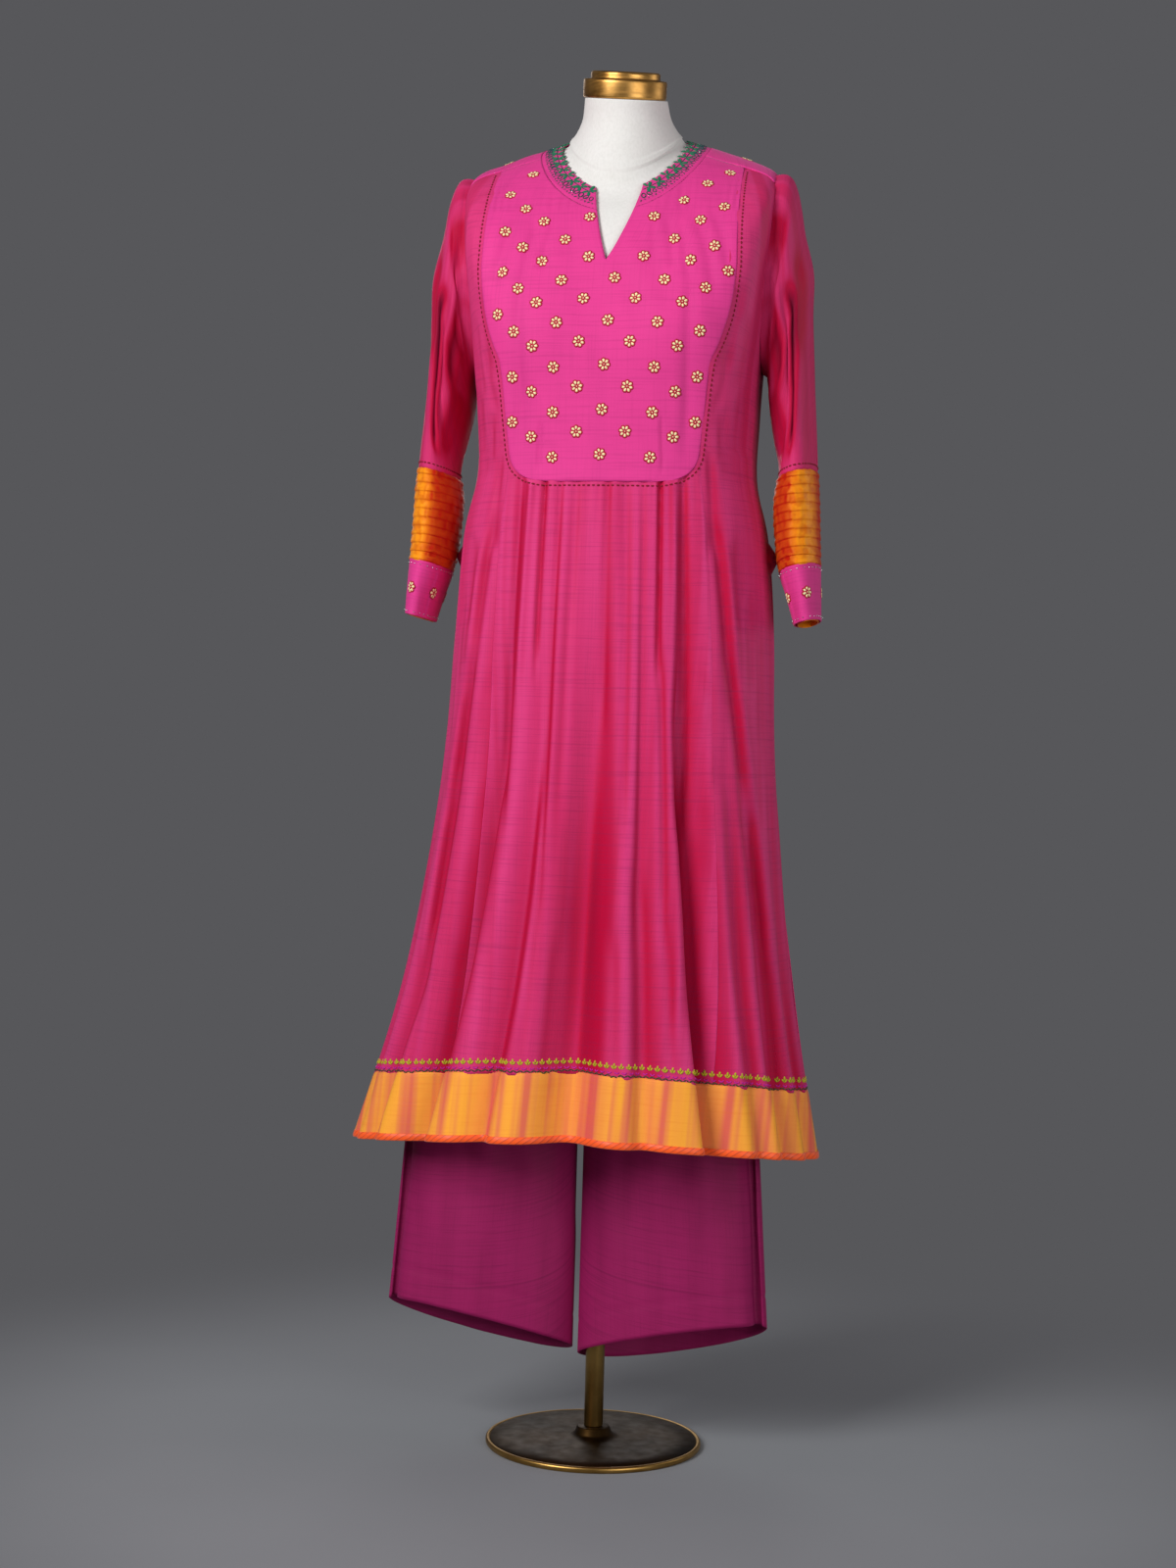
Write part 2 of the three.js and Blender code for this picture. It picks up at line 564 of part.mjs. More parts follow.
// The space that the tunic's body fills, a seam's gap larger, which trims the sleeves.
function bodySpace() {
  return solid(loft(BODY_ROWS.map((row) => Array.from({ length: BODY_SIDES }, (_, i) => {
    const angle = (i / BODY_SIDES) * ROUND;
    return figure(angle, row).addScaledVector(figureFacing(angle, row), 2 * SEAM);
  }))));
}

const armholes = armholeCut(1).add(armholeCut(-1));
const yokeSpace = frontPrism(yokeOutline(0));
const yokeSpaceGrown = frontPrism(yokeOutline(SEAM));
const slit = frontPrism(slitOutline());

// Neck band, a flat band round the neck, open at the slit
function buildNeckBand() {
  const [from, to] = [BAND_ROWS[0], BAND_ROWS.at(-1)];
  const surface = (u, v) => tunic(-Math.PI + u * ROUND, mix(from, to, v));
  const downs = shares(from, to, BAND_ROWS);
  const band = solid(wall(surface, COLUMNS_ACROSS.neckBand, downs, { round: true }));
  addSolid("neck_band", band.subtract(slit), YOKE_PINK);
}

// Front yoke, one piece with the slit cut into it
function buildFrontYoke() {
  const [from, to] = [YOKE_ROWS[0], YOKE_ROWS.at(-1)];
  const surface = (u, v) => {
    const row = mix(from, to, v);
    return tunic((2 * u - 1) * (sideSeam(row) - gapAngle(row)), row);
  };
  const cloth = solid(wall(surface, COLUMNS_ACROSS.yoke, shares(from, to, YOKE_ROWS)));
  addSolid("front_yoke", cloth.intersect(yokeSpace).subtract(slit), YOKE_PINK);
}

// Side panels of the front, from the shoulder to the border
function buildFrontSides() {
  const from = ROW.shoulder;
  for (const side of [1, -1]) {
    const surface = (u, v) => {
      const row = from + v * (HEM - from);
      const angle = side * mix(princess(row) + gapAngle(row), sideSeam(row) - gapAngle(row), u);
      return frontCloth(angle, panelRow(angle, row));
    };
    const downs = shares(from, HEM, SIDE_ROWS);
    const cloth = solid(wall(surface, COLUMNS_ACROSS.side, downs, { flip: side }));
    const name = `front_side_${side > 0 ? "left" : "right"}`;
    addSolid(name, cloth.subtract(yokeSpaceGrown).subtract(armholes), MAGENTA);
  }
}

// Gathered centre front below the yoke
function buildFrontSkirt() {
  const from = FRONT_SKIRT_ROWS[0];
  const surface = (u, v) => {
    const row = mix(from, HEM, v);
    const angle = (2 * u - 1) * (princess(row) - gapAngle(row));
    return tunic(angle, panelRow(angle, row));
  };
  const cloth = solid(wall(surface, COLUMNS_ACROSS.skirt, shares(from, HEM, FRONT_SKIRT_ROWS)));
  addSolid("front_skirt", cloth.subtract(yokeSpaceGrown), MAGENTA);
}

// Back yoke, over the shoulders, and the back panel below it
const BACK_YOKE_Z = 1352;
function backAngle(u, row) {
  const seam = sideSeam(row) + gapAngle(row);
  return mix(seam, ROUND - seam, u);
}
function buildBack() {
  const piece = (columns, rows) => {
    const [from, to] = [rows[0], rows.at(-1)];
    const surface = (u, v) => {
      const row = mix(from, to, v);
      const angle = backAngle(u, row);
      return tunic(angle, panelRow(angle, row));
    };
    return solid(wall(surface, columns, shares(from, to, rows))).subtract(armholes);
  };
  const yoke = piece(COLUMNS_ACROSS.backYoke, BACK_YOKE_ROWS);
  addSolid("back_yoke", yoke.intersect(above(BACK_YOKE_Z)), YOKE_PINK);
  const below = piece(COLUMNS_ACROSS.back, BACK_ROWS);
  addSolid("back_panel", below.subtract(above(BACK_YOKE_Z - SEAM)), MAGENTA);
}

// Silk border and its narrow binding, front and back
function buildBorders() {
  const seam = BINDING_HEIGHT + 2 * SEAM;
  const strips = [
    { name: "border", high: BORDER_HEIGHT, low: seam, proud: 0, paint: ORANGE_SILK },
    { name: "hem_binding", high: BINDING_HEIGHT, low: 0, proud: BINDING_PROUD, paint: BINDING_ORANGE },
  ];
  const gap = gapAngle(HEM);
  const spread = (from, to, sides) =>
    Array.from({ length: sides + 1 }, (_, i) => mix(from, to, i / sides));
  const quarter = Math.PI / 2 - gap;
  const sides = spread(princess(HEM) + gap, quarter, COLUMNS_ACROSS.side);
  const middle = spread(gap - princess(HEM), princess(HEM) - gap, COLUMNS_ACROSS.skirt);
  const arcs = [
    { name: "front", angles: [...sides.map((angle) => -angle).reverse(), ...middle, ...sides] },
    { name: "back", angles: spread(Math.PI / 2 + gap, 1.5 * Math.PI - gap, COLUMNS_ACROSS.back) },
  ];
  for (const strip of strips)
    for (const arc of arcs) {
      const surface = (angle, v) => tunic(angle, hemRow(angle, mix(strip.high, strip.low, v)));
      const levels = { top: strip.proud, depth: -CLOTH - strip.proud };
      const made = wall(surface, arc.angles, 1, levels);
      add(`${strip.name}_${arc.name}`, made, strip.paint);
    }
}

// Sleeves, their tucked silk bands, cuffs and the facing that shows under each cuff
function buildSleeves() {
  const space = bodySpace();
  const armRows = shares(S.armhole, S.elbow, SLEEVE_ROWS);
  const parts = [
    { name: "sleeve", from: S.armhole, to: S.elbow - ELBOW_GAP, rows: armRows, paint: MAGENTA },
    { name: "sleeve_band", from: S.elbow + ELBOW_GAP, to: S.bandEnd - ROW_GAP, rows: 3,
      paint: ORANGE_SILK },
    { name: "cuff", from: S.bandEnd + ROW_GAP, to: S.wrist, rows: 2, paint: YOKE_PINK },
  ];
  for (const part of parts) {
    let made = solid(sleeveTube(part.from, part.to, part.rows));
    if (part.name === "sleeve") made = made.subtract(space);
    addSolid(`${part.name}_left`, made, part.paint);
    addSolid(`${part.name}_right`, made.mirror([1, 0, 0]), part.paint);
  }
  const inside = { top: -CLOTH - 2 * SEAM, depth: -2 * CLOTH - 2 * SEAM };
  const facingRing = solid(sleeveTube(S.cuff + 0.3, S.facing, 2, inside));
  addSolid("cuff_facing_left", facingRing, ORANGE_SILK);
  addSolid("cuff_facing_right", facingRing.mirror([1, 0, 0]), ORANGE_SILK);
}

const WAISTBAND = { bottom: 1085, top: 1112 };

// Trousers: front and back of each leg, and the waistband that holds them on the form
function buildTrousers() {
  const downs = shares(T.top, T.hem, TROUSER_ROWS);
  for (const side of [1, -1])
    for (const isFront of [true, false]) {
      const cloth = trouserCloth(side, isFront);
      const surface = (u, v) => cloth(u, v * T.hem);
      const flip = side * (isFront ? -1 : 1);
      const made = wall(surface, TROUSER_COLUMNS_ACROSS, downs, { flip });
      const name = `trousers_${isFront ? "front" : "back"}_${side > 0 ? "left" : "right"}`;
      add(name, made, TROUSER_PLUM);
    }
  const [low, high] = [WAISTBAND.bottom + SEAM, WAISTBAND.top];
  const around = (angle, row) => formPoint(angle, row, REST_GAP + CLOTH);
  const surface = (u, v) => {
    const angle = u * ROUND;
    return around(angle, rowOfHeight(around, angle, mix(high, low, v), ROW.underBust, ROW.hip));
  };
  add("waistband", wall(surface, FORM.sides, 1, { round: true }), TROUSER_PLUM);
}

// A turned solid from its radii and heights.
function turned(profile, sides) {
  const points = profile.map(([radius, height]) => new THREE.Vector2(radius, height));
  return new THREE.LatheGeometry(points, sides).rotateX(Math.PI / 2);
}

// Dress form: torso with its neck, cap, pole and base
const CAP = { radius: 48, rim: 21, button: 40, height: 30, sides: 24 };
const POLE = { radius: 11, sides: 20 };
const BASE = { radius: 125, height: 9, collar: 22, collarHeight: 11.7, sides: 30 };
function buildForm() {
  const around = Array.from({ length: FORM.sides }, (_, i) => (i / FORM.sides) * ROUND);
  const rings = FORM_ROWS.map((row) => around.map((angle) => formPoint(angle, row)));
  const rim = rings.at(-1);
  for (const step of UNDERSIDE)
    rings.push(rim.map((p) => {
      const reach = Math.hypot(p.x, p.y);
      const share = (reach - step.inward) / reach;
      return new THREE.Vector3(p.x * share, p.y * share, mix(p.z, FORM.underside, step.drop));
    }));
  add("form_torso", loft(rings), FORM_WHITE);

  const { radius, rim: rimHeight, button, height } = CAP;
  const profile = [
    [0, 0], [radius - 0.5, 0], [radius, 1], [radius, rimHeight - 1], [radius - 1, rimHeight],
    [button, rimHeight + 0.4], [button, height - 1.5], [button - 1.5, height], [0, height],
  ];
  const seat = RINGS[ROW.neckTop];
  const cap = add("neck_cap", turned(profile, CAP.sides), BRASS);
  const nod = Math.atan2(seat.aft - seat.fore, seat.front + seat.back);
  cap.rotation.set(nod, -Math.atan2(seat.tilt, seat.half), 0);
  const lift = new THREE.Vector3(0, 0, 2 * SEAM).applyEuler(cap.rotation);
  cap.position.set(0, seat.cy, seat.side).add(lift);

  const { radius: r, height: h, collar, collarHeight } = BASE;
  const [foot, head] = [h + collarHeight + SEAM, FORM.underside - SEAM];
  const pole = new THREE.CylinderGeometry(POLE.radius, POLE.radius, head - foot, POLE.sides);
  pole.rotateX(Math.PI / 2).translate(0, 0, (head + foot) / 2);
  add("form_pole", pole, BRASS);

  const base = [
    [0, 0], [r - 2, 0], [r, 2], [r, h - 4], [r - 3, h - 2], [collar + 8, h],
    [collar, h + 3], [collar - 3, h + collarHeight], [0, h + collarHeight],
  ];
  add("form_base", turned(base, BASE.sides), BRASS);
}

buildNeckBand();
buildFrontYoke();
buildFrontSides();
buildFrontSkirt();
buildBack();
buildBorders();
buildSleeves();
buildTrousers();
buildForm();

export default group;
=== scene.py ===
"""The looks of a long flared kurti and straight pants on a dress form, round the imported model."""
import math

import bmesh
import bpy
import numpy as np
from mathutils import Matrix, Vector
from mathutils.bvhtree import BVHTree


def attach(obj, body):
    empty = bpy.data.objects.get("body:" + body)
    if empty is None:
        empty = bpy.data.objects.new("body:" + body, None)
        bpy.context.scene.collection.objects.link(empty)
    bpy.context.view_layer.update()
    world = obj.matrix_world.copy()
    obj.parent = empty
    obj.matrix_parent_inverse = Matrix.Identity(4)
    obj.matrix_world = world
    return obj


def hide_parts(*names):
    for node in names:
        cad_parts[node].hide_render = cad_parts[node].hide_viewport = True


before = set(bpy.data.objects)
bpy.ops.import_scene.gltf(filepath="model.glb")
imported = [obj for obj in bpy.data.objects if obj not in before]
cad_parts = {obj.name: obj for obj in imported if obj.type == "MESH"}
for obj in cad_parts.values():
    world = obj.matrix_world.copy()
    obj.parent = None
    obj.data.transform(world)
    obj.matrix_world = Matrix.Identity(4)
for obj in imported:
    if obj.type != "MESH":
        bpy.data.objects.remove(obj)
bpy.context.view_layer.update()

# Sizes are millimetres until a mesh is made
MM = 0.001
DEG = math.pi / 180
ROUND = 2 * math.pi
WALL = 1.2  # thickness of the cloth that shows
RAISED = 0.7  # how far an upper layer stands proud of what it is sewn on


# Camera: 9 degrees to the wearer's left of straight ahead, level, rolled as the photograph is
VIEW_ANGLE = 9
CAMERA_FAR = 2750
CAMERA_HIGH = 766
CAMERA_ASIDE = -25.6  # along the picture's own right
CAMERA_ROLL = 1.49
LENS = 54.28


def make_camera():
    turn, roll = VIEW_ANGLE * DEG, CAMERA_ROLL * DEG
    right = Vector((math.cos(turn), math.sin(turn), 0))
    ahead = Vector((-math.sin(turn), math.cos(turn), 0))
    up = Vector((0, 0, 1))
    across = right * math.cos(roll) + up * math.sin(roll)
    upward = up * math.cos(roll) - right * math.sin(roll)
    place = ahead * -CAMERA_FAR + up * CAMERA_HIGH + right * CAMERA_ASIDE
    data = bpy.data.cameras.new("camera")
    data.lens = LENS
    data.sensor_width = 36
    camera = bpy.data.objects.new("camera", data)
    bpy.context.scene.collection.objects.link(camera)
    basis = Matrix((across, upward, -ahead)).transposed().to_4x4()
    camera.matrix_world = Matrix.Translation(place * MM) @ basis
    bpy.context.scene.camera = camera


make_camera()

# Rings of the kurti and of the neck above it, from the top down: half width, front and back
# depth, centre across and in depth, heights at side, front and back, tilt, squareness
RINGS = np.array([
    [47.5, 50, 50, 2, -24, 1556, 1542, 1570, -3, 0],
    [51, 53, 50, 2, -16, 1536, 1519, 1552, -1, 0],
    [58, 61, 53, 1, -9, 1523, 1488, 1536, 0, 0],
    [65.5, 70, 60, 0, -4, 1515, 1461, 1525, 0, 0],
    [74, 80, 68, 0, 0, 1509, 1437, 1516, 0, 0.05],
    [99, 99, 84, 0, 0, 1502, 1409, 1502, 0, 0.1],
    [138, 114, 98, 0, 0, 1490, 1378, 1472, 0, 0.2],
    [176, 125, 108, 0, 0, 1472, 1345, 1432, 0, 0.34],
    [179, 132, 114, 0, 0, 1424, 1312, 1385, 0, 0.42],
    [172, 138, 117, 0, 0, 1346, 1280, 1325, 0, 0.42],
    [166, 140, 114, 0, 0, 1262, 1243, 1255, 0, 0.36],
    [162, 135, 108, 0, 0, 1190, 1184, 1188, 0, 0.3],
    [161, 129, 104, 0, 0, 1122, 1120, 1122, 0, 0.25],
    [176.5, 131, 110, 0, 0, 1050, 1050, 1050, 0, 0.2],
    [185, 138, 121, 0, 0, 935, 938, 935, 0, 0.15],
    [196, 147, 132, -2, 0, 758, 768, 758, 0, 0.1],
    [226, 162, 147, -9, 0, 542, 560, 542, 0, 0.08],
    [272, 181, 165, -20, 0, 344, 370, 346, 0, 0.05],
])
NECK_EDGE, BAND_SEAM, SHOULDER, SHOULDER_TIP = 4, 5, 6, 7
UNDER_BUST, WAIST, HIGH_HIP, THIGH, HEM = 11, 12, 13, 15, 17
BORDER_HEIGHT = 78

# Troughs of the skirt: angle at hem and top, height where it starts, half width in degrees,
# depth, lean
FOLDS = [
    (1, 0, 1095, 6.6, 35, 0), (20, 15, 1095, 3.6, 12, 0.3), (42, 26, 1120, 4.6, 38, 0.9),
    (54, 46, 930, 3.8, 12, 0.2), (66, 60, 860, 4.6, 15, 0.2), (79, 76, 800, 4.2, 9, 0),
    (-21, -15, 1095, 3.4, 17, -0.5), (-44, -31, 1120, 6.4, 36, -0.7),
    (-60, -50, 960, 4.2, 12, -0.2), (-75, -70, 830, 4.6, 12, 0),
    (108, 112, 900, 4.6, 14, -0.2), (126, 130, 1000, 4.6, 22, -0.5),
    (146, 147, 1080, 5, 18, -0.3), (165, 164, 1020, 4.4, 20, 0.3),
    (184, 182, 1080, 5, 24, 0), (203, 200, 1040, 4.4, 18, -0.3),
    (222, 217, 1080, 5, 20, 0.4), (241, 236, 940, 4.6, 18, 0.4), (259, 256, 860, 4.4, 10, 0),
]
FOLD_END = 350

POCKET_Z, POCKET_REACH, POCKET_WIDTH, POCKET_GAPE = 1030, 20, 7, 11
BUST_X, BUST_Z, BUST_RADIUS, BUST_FULLNESS = 84, 1272, 52, 7

YOKE_BOTTOM = 1102
YOKE_FLAT = 58
SLIT_END = (-1.5, 1349)
SLIT_TOP_X, SLIT_TOP_HALF, SLIT_TOP_Z = 4, 26, 1437
BACK_YOKE_Z = 1352
FRONT_SEAM_SHOULDER, FRONT_SEAM_SIDE = 76, 90
PRINCESS_TOP, PRINCESS_HEM = 35.5, 44

# Rings of the sleeve: where each passes the inner and outer side, half depth, centre in depth
SLEEVE = np.array([
    [165, 1243, 165, 1468, 66, 0], [171, 1238, 190, 1471, 68, 0], [172, 1233, 202, 1449, 70, 0],
    [172.5, 1227, 210, 1404, 71, 0], [173, 1219, 221, 1357, 71, 0], [174, 1209, 222, 1305, 70, 0],
    [176, 1193, 225, 1245, 68, -1], [182, 1161, 228.5, 1183, 65, -4],
    [188, 1129, 231, 1140, 61, -7], [184, 1090, 234, 1099, 60, -10],
    [188, 1037, 236.5, 1046, 57, -13], [193, 1012, 237.5, 1022, 55, -15],
    [203, 983, 239, 992, 52, -17], [211, 956, 240, 963, 49, -18],
    [212.4, 951, 240.2, 958, 48.4, -18.2],
])
ELBOW, BAND_END, CUFF, WRIST, FACING_END = 8, 11, 12, 13, 14
SLEEVE_DRAPES = [
    (2.2, 8, [98, 95, 92, 92, 98, 122, 158], 17, 9),
    (2.6, 7.8, [262, 266, 268, 262, 240, 205], 19, 8),
]
ARMHOLE_Z, ARMHOLE_DEEP, ARMHOLE_TALL = 1355.5, 64.4, 110.9

# Rings of the trousers: height, reach, front, back, squareness, middle, leg, gap
TROUSERS = np.array([
    [1084.6, 142.5, 104, 85, 0.22, 0, 0, 0], [1045, 153, 109, 94, 0.2, 0, 0, 0],
    [995, 162, 116, 100, 0.18, 0, 0, 0], [940, 171, 120, 109, 0.16, 0, 0, 0],
    [890, 174, 120, 113, 0.12, 0, 0, 0], [840, 172, 111, 110, 0, -6, 0.5, 0],
    [798, 169, 98, 98, 0, -13, 0.9, 0], [762, 166, 84, 88, 0, -18, 1, 0.4],
    [600, 182, 68, 74, 0, -21, 1, 2], [400, 204, 60, 66, 0, -23, 1, 3],
    [150, 223, 52, 54, 0, -24, 1, 3],
])
TROUSER_THIGH, TROUSER_END = 8, 10
HEM_FRONT, HEM_INNER, HEM_BACK, HEM_SWAY = 3, 42, 46, 8
GROOVE_ANGLE, GROOVE_SPREAD, GROOVE_DEPTH, GROOVE_START = 24, 8, 10, 620

FORM_INSET = np.array([[x] for x in
                       [0, 0, 0, 1.6, 3, 3, 3, 4.4, 8, 6, 4, 14, 31, 32, 28, 36]])
FORM_END = 14.45
FORM_UNDERSIDE = 838
POLE_RADIUS = 11
BASE_RADIUS, BASE_HEIGHT, COLLAR = 125, 9, 22


def smooth(t):
    t = np.clip(t, 0, 1)
    return t * t * (3 - 2 * t)


def mix(a, b, t):
    return a + (b - a) * t


def rows_at(table, row):
    """A table's columns at fractional rows, on one smooth curve through its rows."""
    row = np.asarray(row, float)
    last = len(table) - 1
    i = np.clip(np.floor(row).astype(int), 0, last - 1)
    t = (row - i)[..., None]
    before, here = table[np.maximum(i - 1, 0)], table[i]
    after, beyond = table[i + 1], table[np.minimum(i + 2, last)]
    slope = (after - before) / np.where(i > 0, 2, 1)[..., None]
    next_slope = (beyond - here) / np.where(i + 2 <= last, 2, 1)[..., None]
    return ((2 * t**3 - 3 * t**2 + 1) * here + (t**3 - 2 * t**2 + t) * slope
            + (3 * t**2 - 2 * t**3) * after + (t**3 - t**2) * next_slope)


def facing(surface, u, v, du, dv):
    along = surface(u + du, v) - surface(u - du, v)
    down = surface(u, v + dv) - surface(u, v - dv)
    out = np.cross(down, along)
    return out / np.linalg.norm(out, axis=-1, keepdims=True)


def figure(angle, row):
    """The plain figure at an angle from centre front and a ring row."""
    angle, row = np.broadcast_arrays(np.asarray(angle, float), np.asarray(row, float))
    half, front, back, cx, cy, side, fore, aft, tilt, square = np.moveaxis(
        rows_at(RINGS, row), -1, 0)
    c, s = np.cos(angle), np.sin(angle)
    x = cx + half * s * (1 + square * c * c)
    y = cy - ((front + back) / 2 * c * (1 + square * s * s) + (front - back) / 2 * c * c)
    level = (fore + aft) / 2
    z = ((level + side) / 2 + (fore - aft) / 2 * c
         + (level - side) / 2 * np.cos(2 * angle) + tilt * s)
    near = ((np.abs(x) - BUST_X) ** 2 + (z - BUST_Z) ** 2) / BUST_RADIUS**2
    y = y - np.where(c > 0, BUST_FULLNESS * np.exp(-near), 0)
    return np.stack([x, y, z], -1)


def fold_push(angle, z):
    """How far the skirt's folds press in and lean at an angle and a height."""
    push, shift = 0 * z, 0 * z
    for hem, top, start, spread, depth, lean in FOLDS:
        grown = np.clip((start - z) / (start - FOLD_END), 0, 1)
        centre = mix(top, hem, grown) * DEG
        away = np.arctan2(np.sin(angle - centre), np.cos(angle - centre)) / (spread * DEG)
        press = -depth * smooth(grown**0.8) * np.exp(-away * away)
        push = push + press
        shift = shift + lean * press
    return push, shift


def tunic(angle, row):
    """The kurti's outer surface, with the skirt's folds."""
    angle, row = np.broadcast_arrays(np.asarray(angle, float), np.asarray(row, float))
    point = figure(angle, row)
    out = facing(figure, angle, row, 0.01, 0.02)
    out[..., 2] = 0
    out /= np.linalg.norm(out, axis=-1, keepdims=True)
    side = np.stack([-out[..., 1], out[..., 0], 0 * angle], -1)
    push, shift = fold_push(angle, point[..., 2])
    return point + out * push[..., None] + side * shift[..., None]


def front_cloth(angle, row):
    """The front, with its edge bowed out at the pocket's mouth."""
    point = tunic(angle, row)
    near = np.maximum(0, 1 - np.abs(point[..., 2] - POCKET_Z) / POCKET_REACH)
    edge = np.maximum(0, 1 - (math.pi / 2 - np.abs(angle)) / (POCKET_WIDTH * DEG))
    point[..., 0] += np.sign(angle) * POCKET_GAPE * near * edge
    return point


def crossing(test, low, high, steps=30):
    """The first angle between low and high at which test turns positive, or high."""
    low, high = np.broadcast_arrays(np.asarray(low, float), np.asarray(high, float))
    a, b = low.copy(), high.copy()
    for _ in range(steps):
        middle = (a + b) / 2
        past = test(middle) > 0
        b = np.where(past, middle, b)
        a = np.where(past, a, middle)
    return b


def row_of_height(surface, angle, z, low, high):
    angle, z = np.broadcast_arrays(np.asarray(angle, float), np.asarray(z, float))
    return crossing(lambda row: z - surface(angle, row)[..., 2], low + 0 * angle, high + 0 * angle)


ALL_ANGLES = np.linspace(-math.pi, ROUND, 541)


def row_table(z_of_angle, low, high):
    """A function that gives the figure's row at an angle, for a height that varies with it."""
    rows = row_of_height(figure, ALL_ANGLES, z_of_angle, low, high)
    return lambda angle: np.interp(angle, ALL_ANGLES, rows)


HEM_Z = figure(ALL_ANGLES, HEM)[:, 2]
hem_tables = {}


def hem_row(angle, height):
    if height not in hem_tables:
        hem_tables[height] = row_table(HEM_Z + height, THIGH, HEM)
    return hem_tables[height](angle)


SKIRT_LAP = 3  # how far the skirt goes down behind the border


def panel_row(angle, row):
    lowest = hem_row(angle, BORDER_HEIGHT - SKIRT_LAP)
    share = (row - HIGH_HIP) / (HEM - HIGH_HIP)
    return np.where(row <= HIGH_HIP, row, mix(HIGH_HIP, lowest, share))


def side_seam(row):
    share = smooth((row - SHOULDER_TIP) / 1.5)
    return mix(FRONT_SEAM_SHOULDER, FRONT_SEAM_SIDE, share) * DEG


def princess(row):
    return mix(PRINCESS_TOP, PRINCESS_HEM, smooth((row - WAIST) / (HEM - WAIST))) * DEG


def bezier(*controls, steps=20):
    t = np.linspace(0, 1, steps + 1)[:, None]
    n = len(controls) - 1
    return sum(math.comb(n, k) * t**k * (1 - t) ** (n - k) * np.array(p, float)
               for k, p in enumerate(controls))


YOKE_EDGE = np.concatenate([
    bezier((YOKE_FLAT, YOKE_BOTTOM), (106, YOKE_BOTTOM), (108, 1140)),
    bezier((108, 1140), (114, 1190), (114, 1215), (120, 1240))[1:],
    bezier((120, 1240), (136, 1272), (142, 1305), (144, 1345))[1:],
    bezier((144, 1345), (141, 1480))[1:],
    bezier((141, 1480), (141, 1600))[1:],
])


def yoke_half(z):
    return np.interp(z, YOKE_EDGE[:, 1], YOKE_EDGE[:, 0])


def slit_edge(side):
    middle = (SLIT_END[1] + SLIT_TOP_Z) / 2
    top = SLIT_TOP_X + side * SLIT_TOP_HALF
    curve = bezier(SLIT_END, (SLIT_TOP_X + side * 0.72 * SLIT_TOP_HALF, middle), (top, SLIT_TOP_Z))
    return np.concatenate([curve, [[top + side * 3, 1470]]])


SLIT_EDGES = {side: slit_edge(side) for side in (1, -1)}


def slit_angle(side, row_of_angle):
    """The angle of the slit's edge on each row, or of the line below it."""
    edge = SLIT_EDGES[side]

    def test(turn):
        point = figure(side * turn - 0.06 * side, row_of_angle(side * turn - 0.06 * side))
        x_edge = np.interp(point[..., 2], edge[:, 1], edge[:, 0])
        return side * (point[..., 0] - x_edge)

    low = 0 * row_of_angle(0.0)
    return side * (crossing(test, low, low + 0.8) - 0.06)


def waves(seed, across, along, high, across_mm, along_mm, count=10):
    """Soft uneven waves of cloth, the same ones each time."""
    draw = np.random.default_rng(seed)
    total = 0 * across
    for _ in range(count):
        kx = ROUND / draw.uniform(*across_mm) * draw.choice([-1, 1])
        kz = ROUND / draw.uniform(*along_mm)
        total = total + np.sin(kx * across + kz * along + draw.uniform(0, ROUND))
    return high * total / math.sqrt(count)


def creases(x, z, table):
    """Soft troughs and ridges as listed: from a point to a point, width, depth, sideways bow."""
    push = 0 * x
    for x0, z0, x1, z1, width, depth, bow in table:
        dx, dz = x1 - x0, z1 - z0
        length = math.hypot(dx, dz)
        t = ((x - x0) * dx + (z - z0) * dz) / length**2
        across = ((x - x0) * dz - (z - z0) * dx) / length + bow * 4 * t * (1 - t)
        fade = smooth(t * 4) * smooth((1 - t) * 4)
        push = push - depth * fade * np.exp(-((across / width) ** 2))
    return push


# Meshes
SIDES = ((1, "left"), (-1, "right"))  # the wearer's own, with the way that x runs


def mirrored(points, side):
    return points * np.array([side, 1, 1])


def across_and_up(points):
    return points[..., 0], points[..., 2]


def grid_quads(rows, cols):
    """The faces of a grid of points, by the numbers of their four corners."""
    i = np.arange(rows * cols).reshape(rows, cols)
    return np.stack([i[:-1, :-1], i[1:, :-1], i[1:, 1:], i[:-1, 1:]], -1).reshape(-1, 4)


def hang(piece, slot, *nodes):
    """Every piece rides on the one body, and some stand for CAD nodes."""
    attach(piece, "root")
    if nodes:
        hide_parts(*nodes)


def grid_normals(points, closed=False):
    if closed:
        points = np.concatenate([points[:, -2:-1], points, points[:, 1:2]], axis=1)
    along = np.gradient(points, axis=1)
    down = np.gradient(points, axis=0)
    out = np.cross(down, along)
    out /= np.maximum(np.linalg.norm(out, axis=-1, keepdims=True), 1e-9)
    return out[:, 1:-1] if closed else out


def cut_lengths(points, start=0):
    """Where each point lies on the flat cut, in metres: across from a column, and down."""
    across = np.linalg.norm(np.diff(points, axis=1), axis=-1)
    u = np.concatenate([0 * across[:, :1], np.cumsum(across, axis=1)], axis=1)
    down = np.linalg.norm(np.diff(points, axis=0), axis=-1)
    v = np.concatenate([0 * down[:1], np.cumsum(down, axis=0)], axis=0)
    return (u - u[:, start:start + 1]) * MM, -v * MM


def soften(values, times):
    """Values averaged with their neighbours along each row."""
    for _ in range(times):
        wide = np.pad(values, ((0, 0), (1, 1)), mode="edge")
        values = (wide[:, :-2] + 2 * values + wide[:, 2:]) / 4
    return values


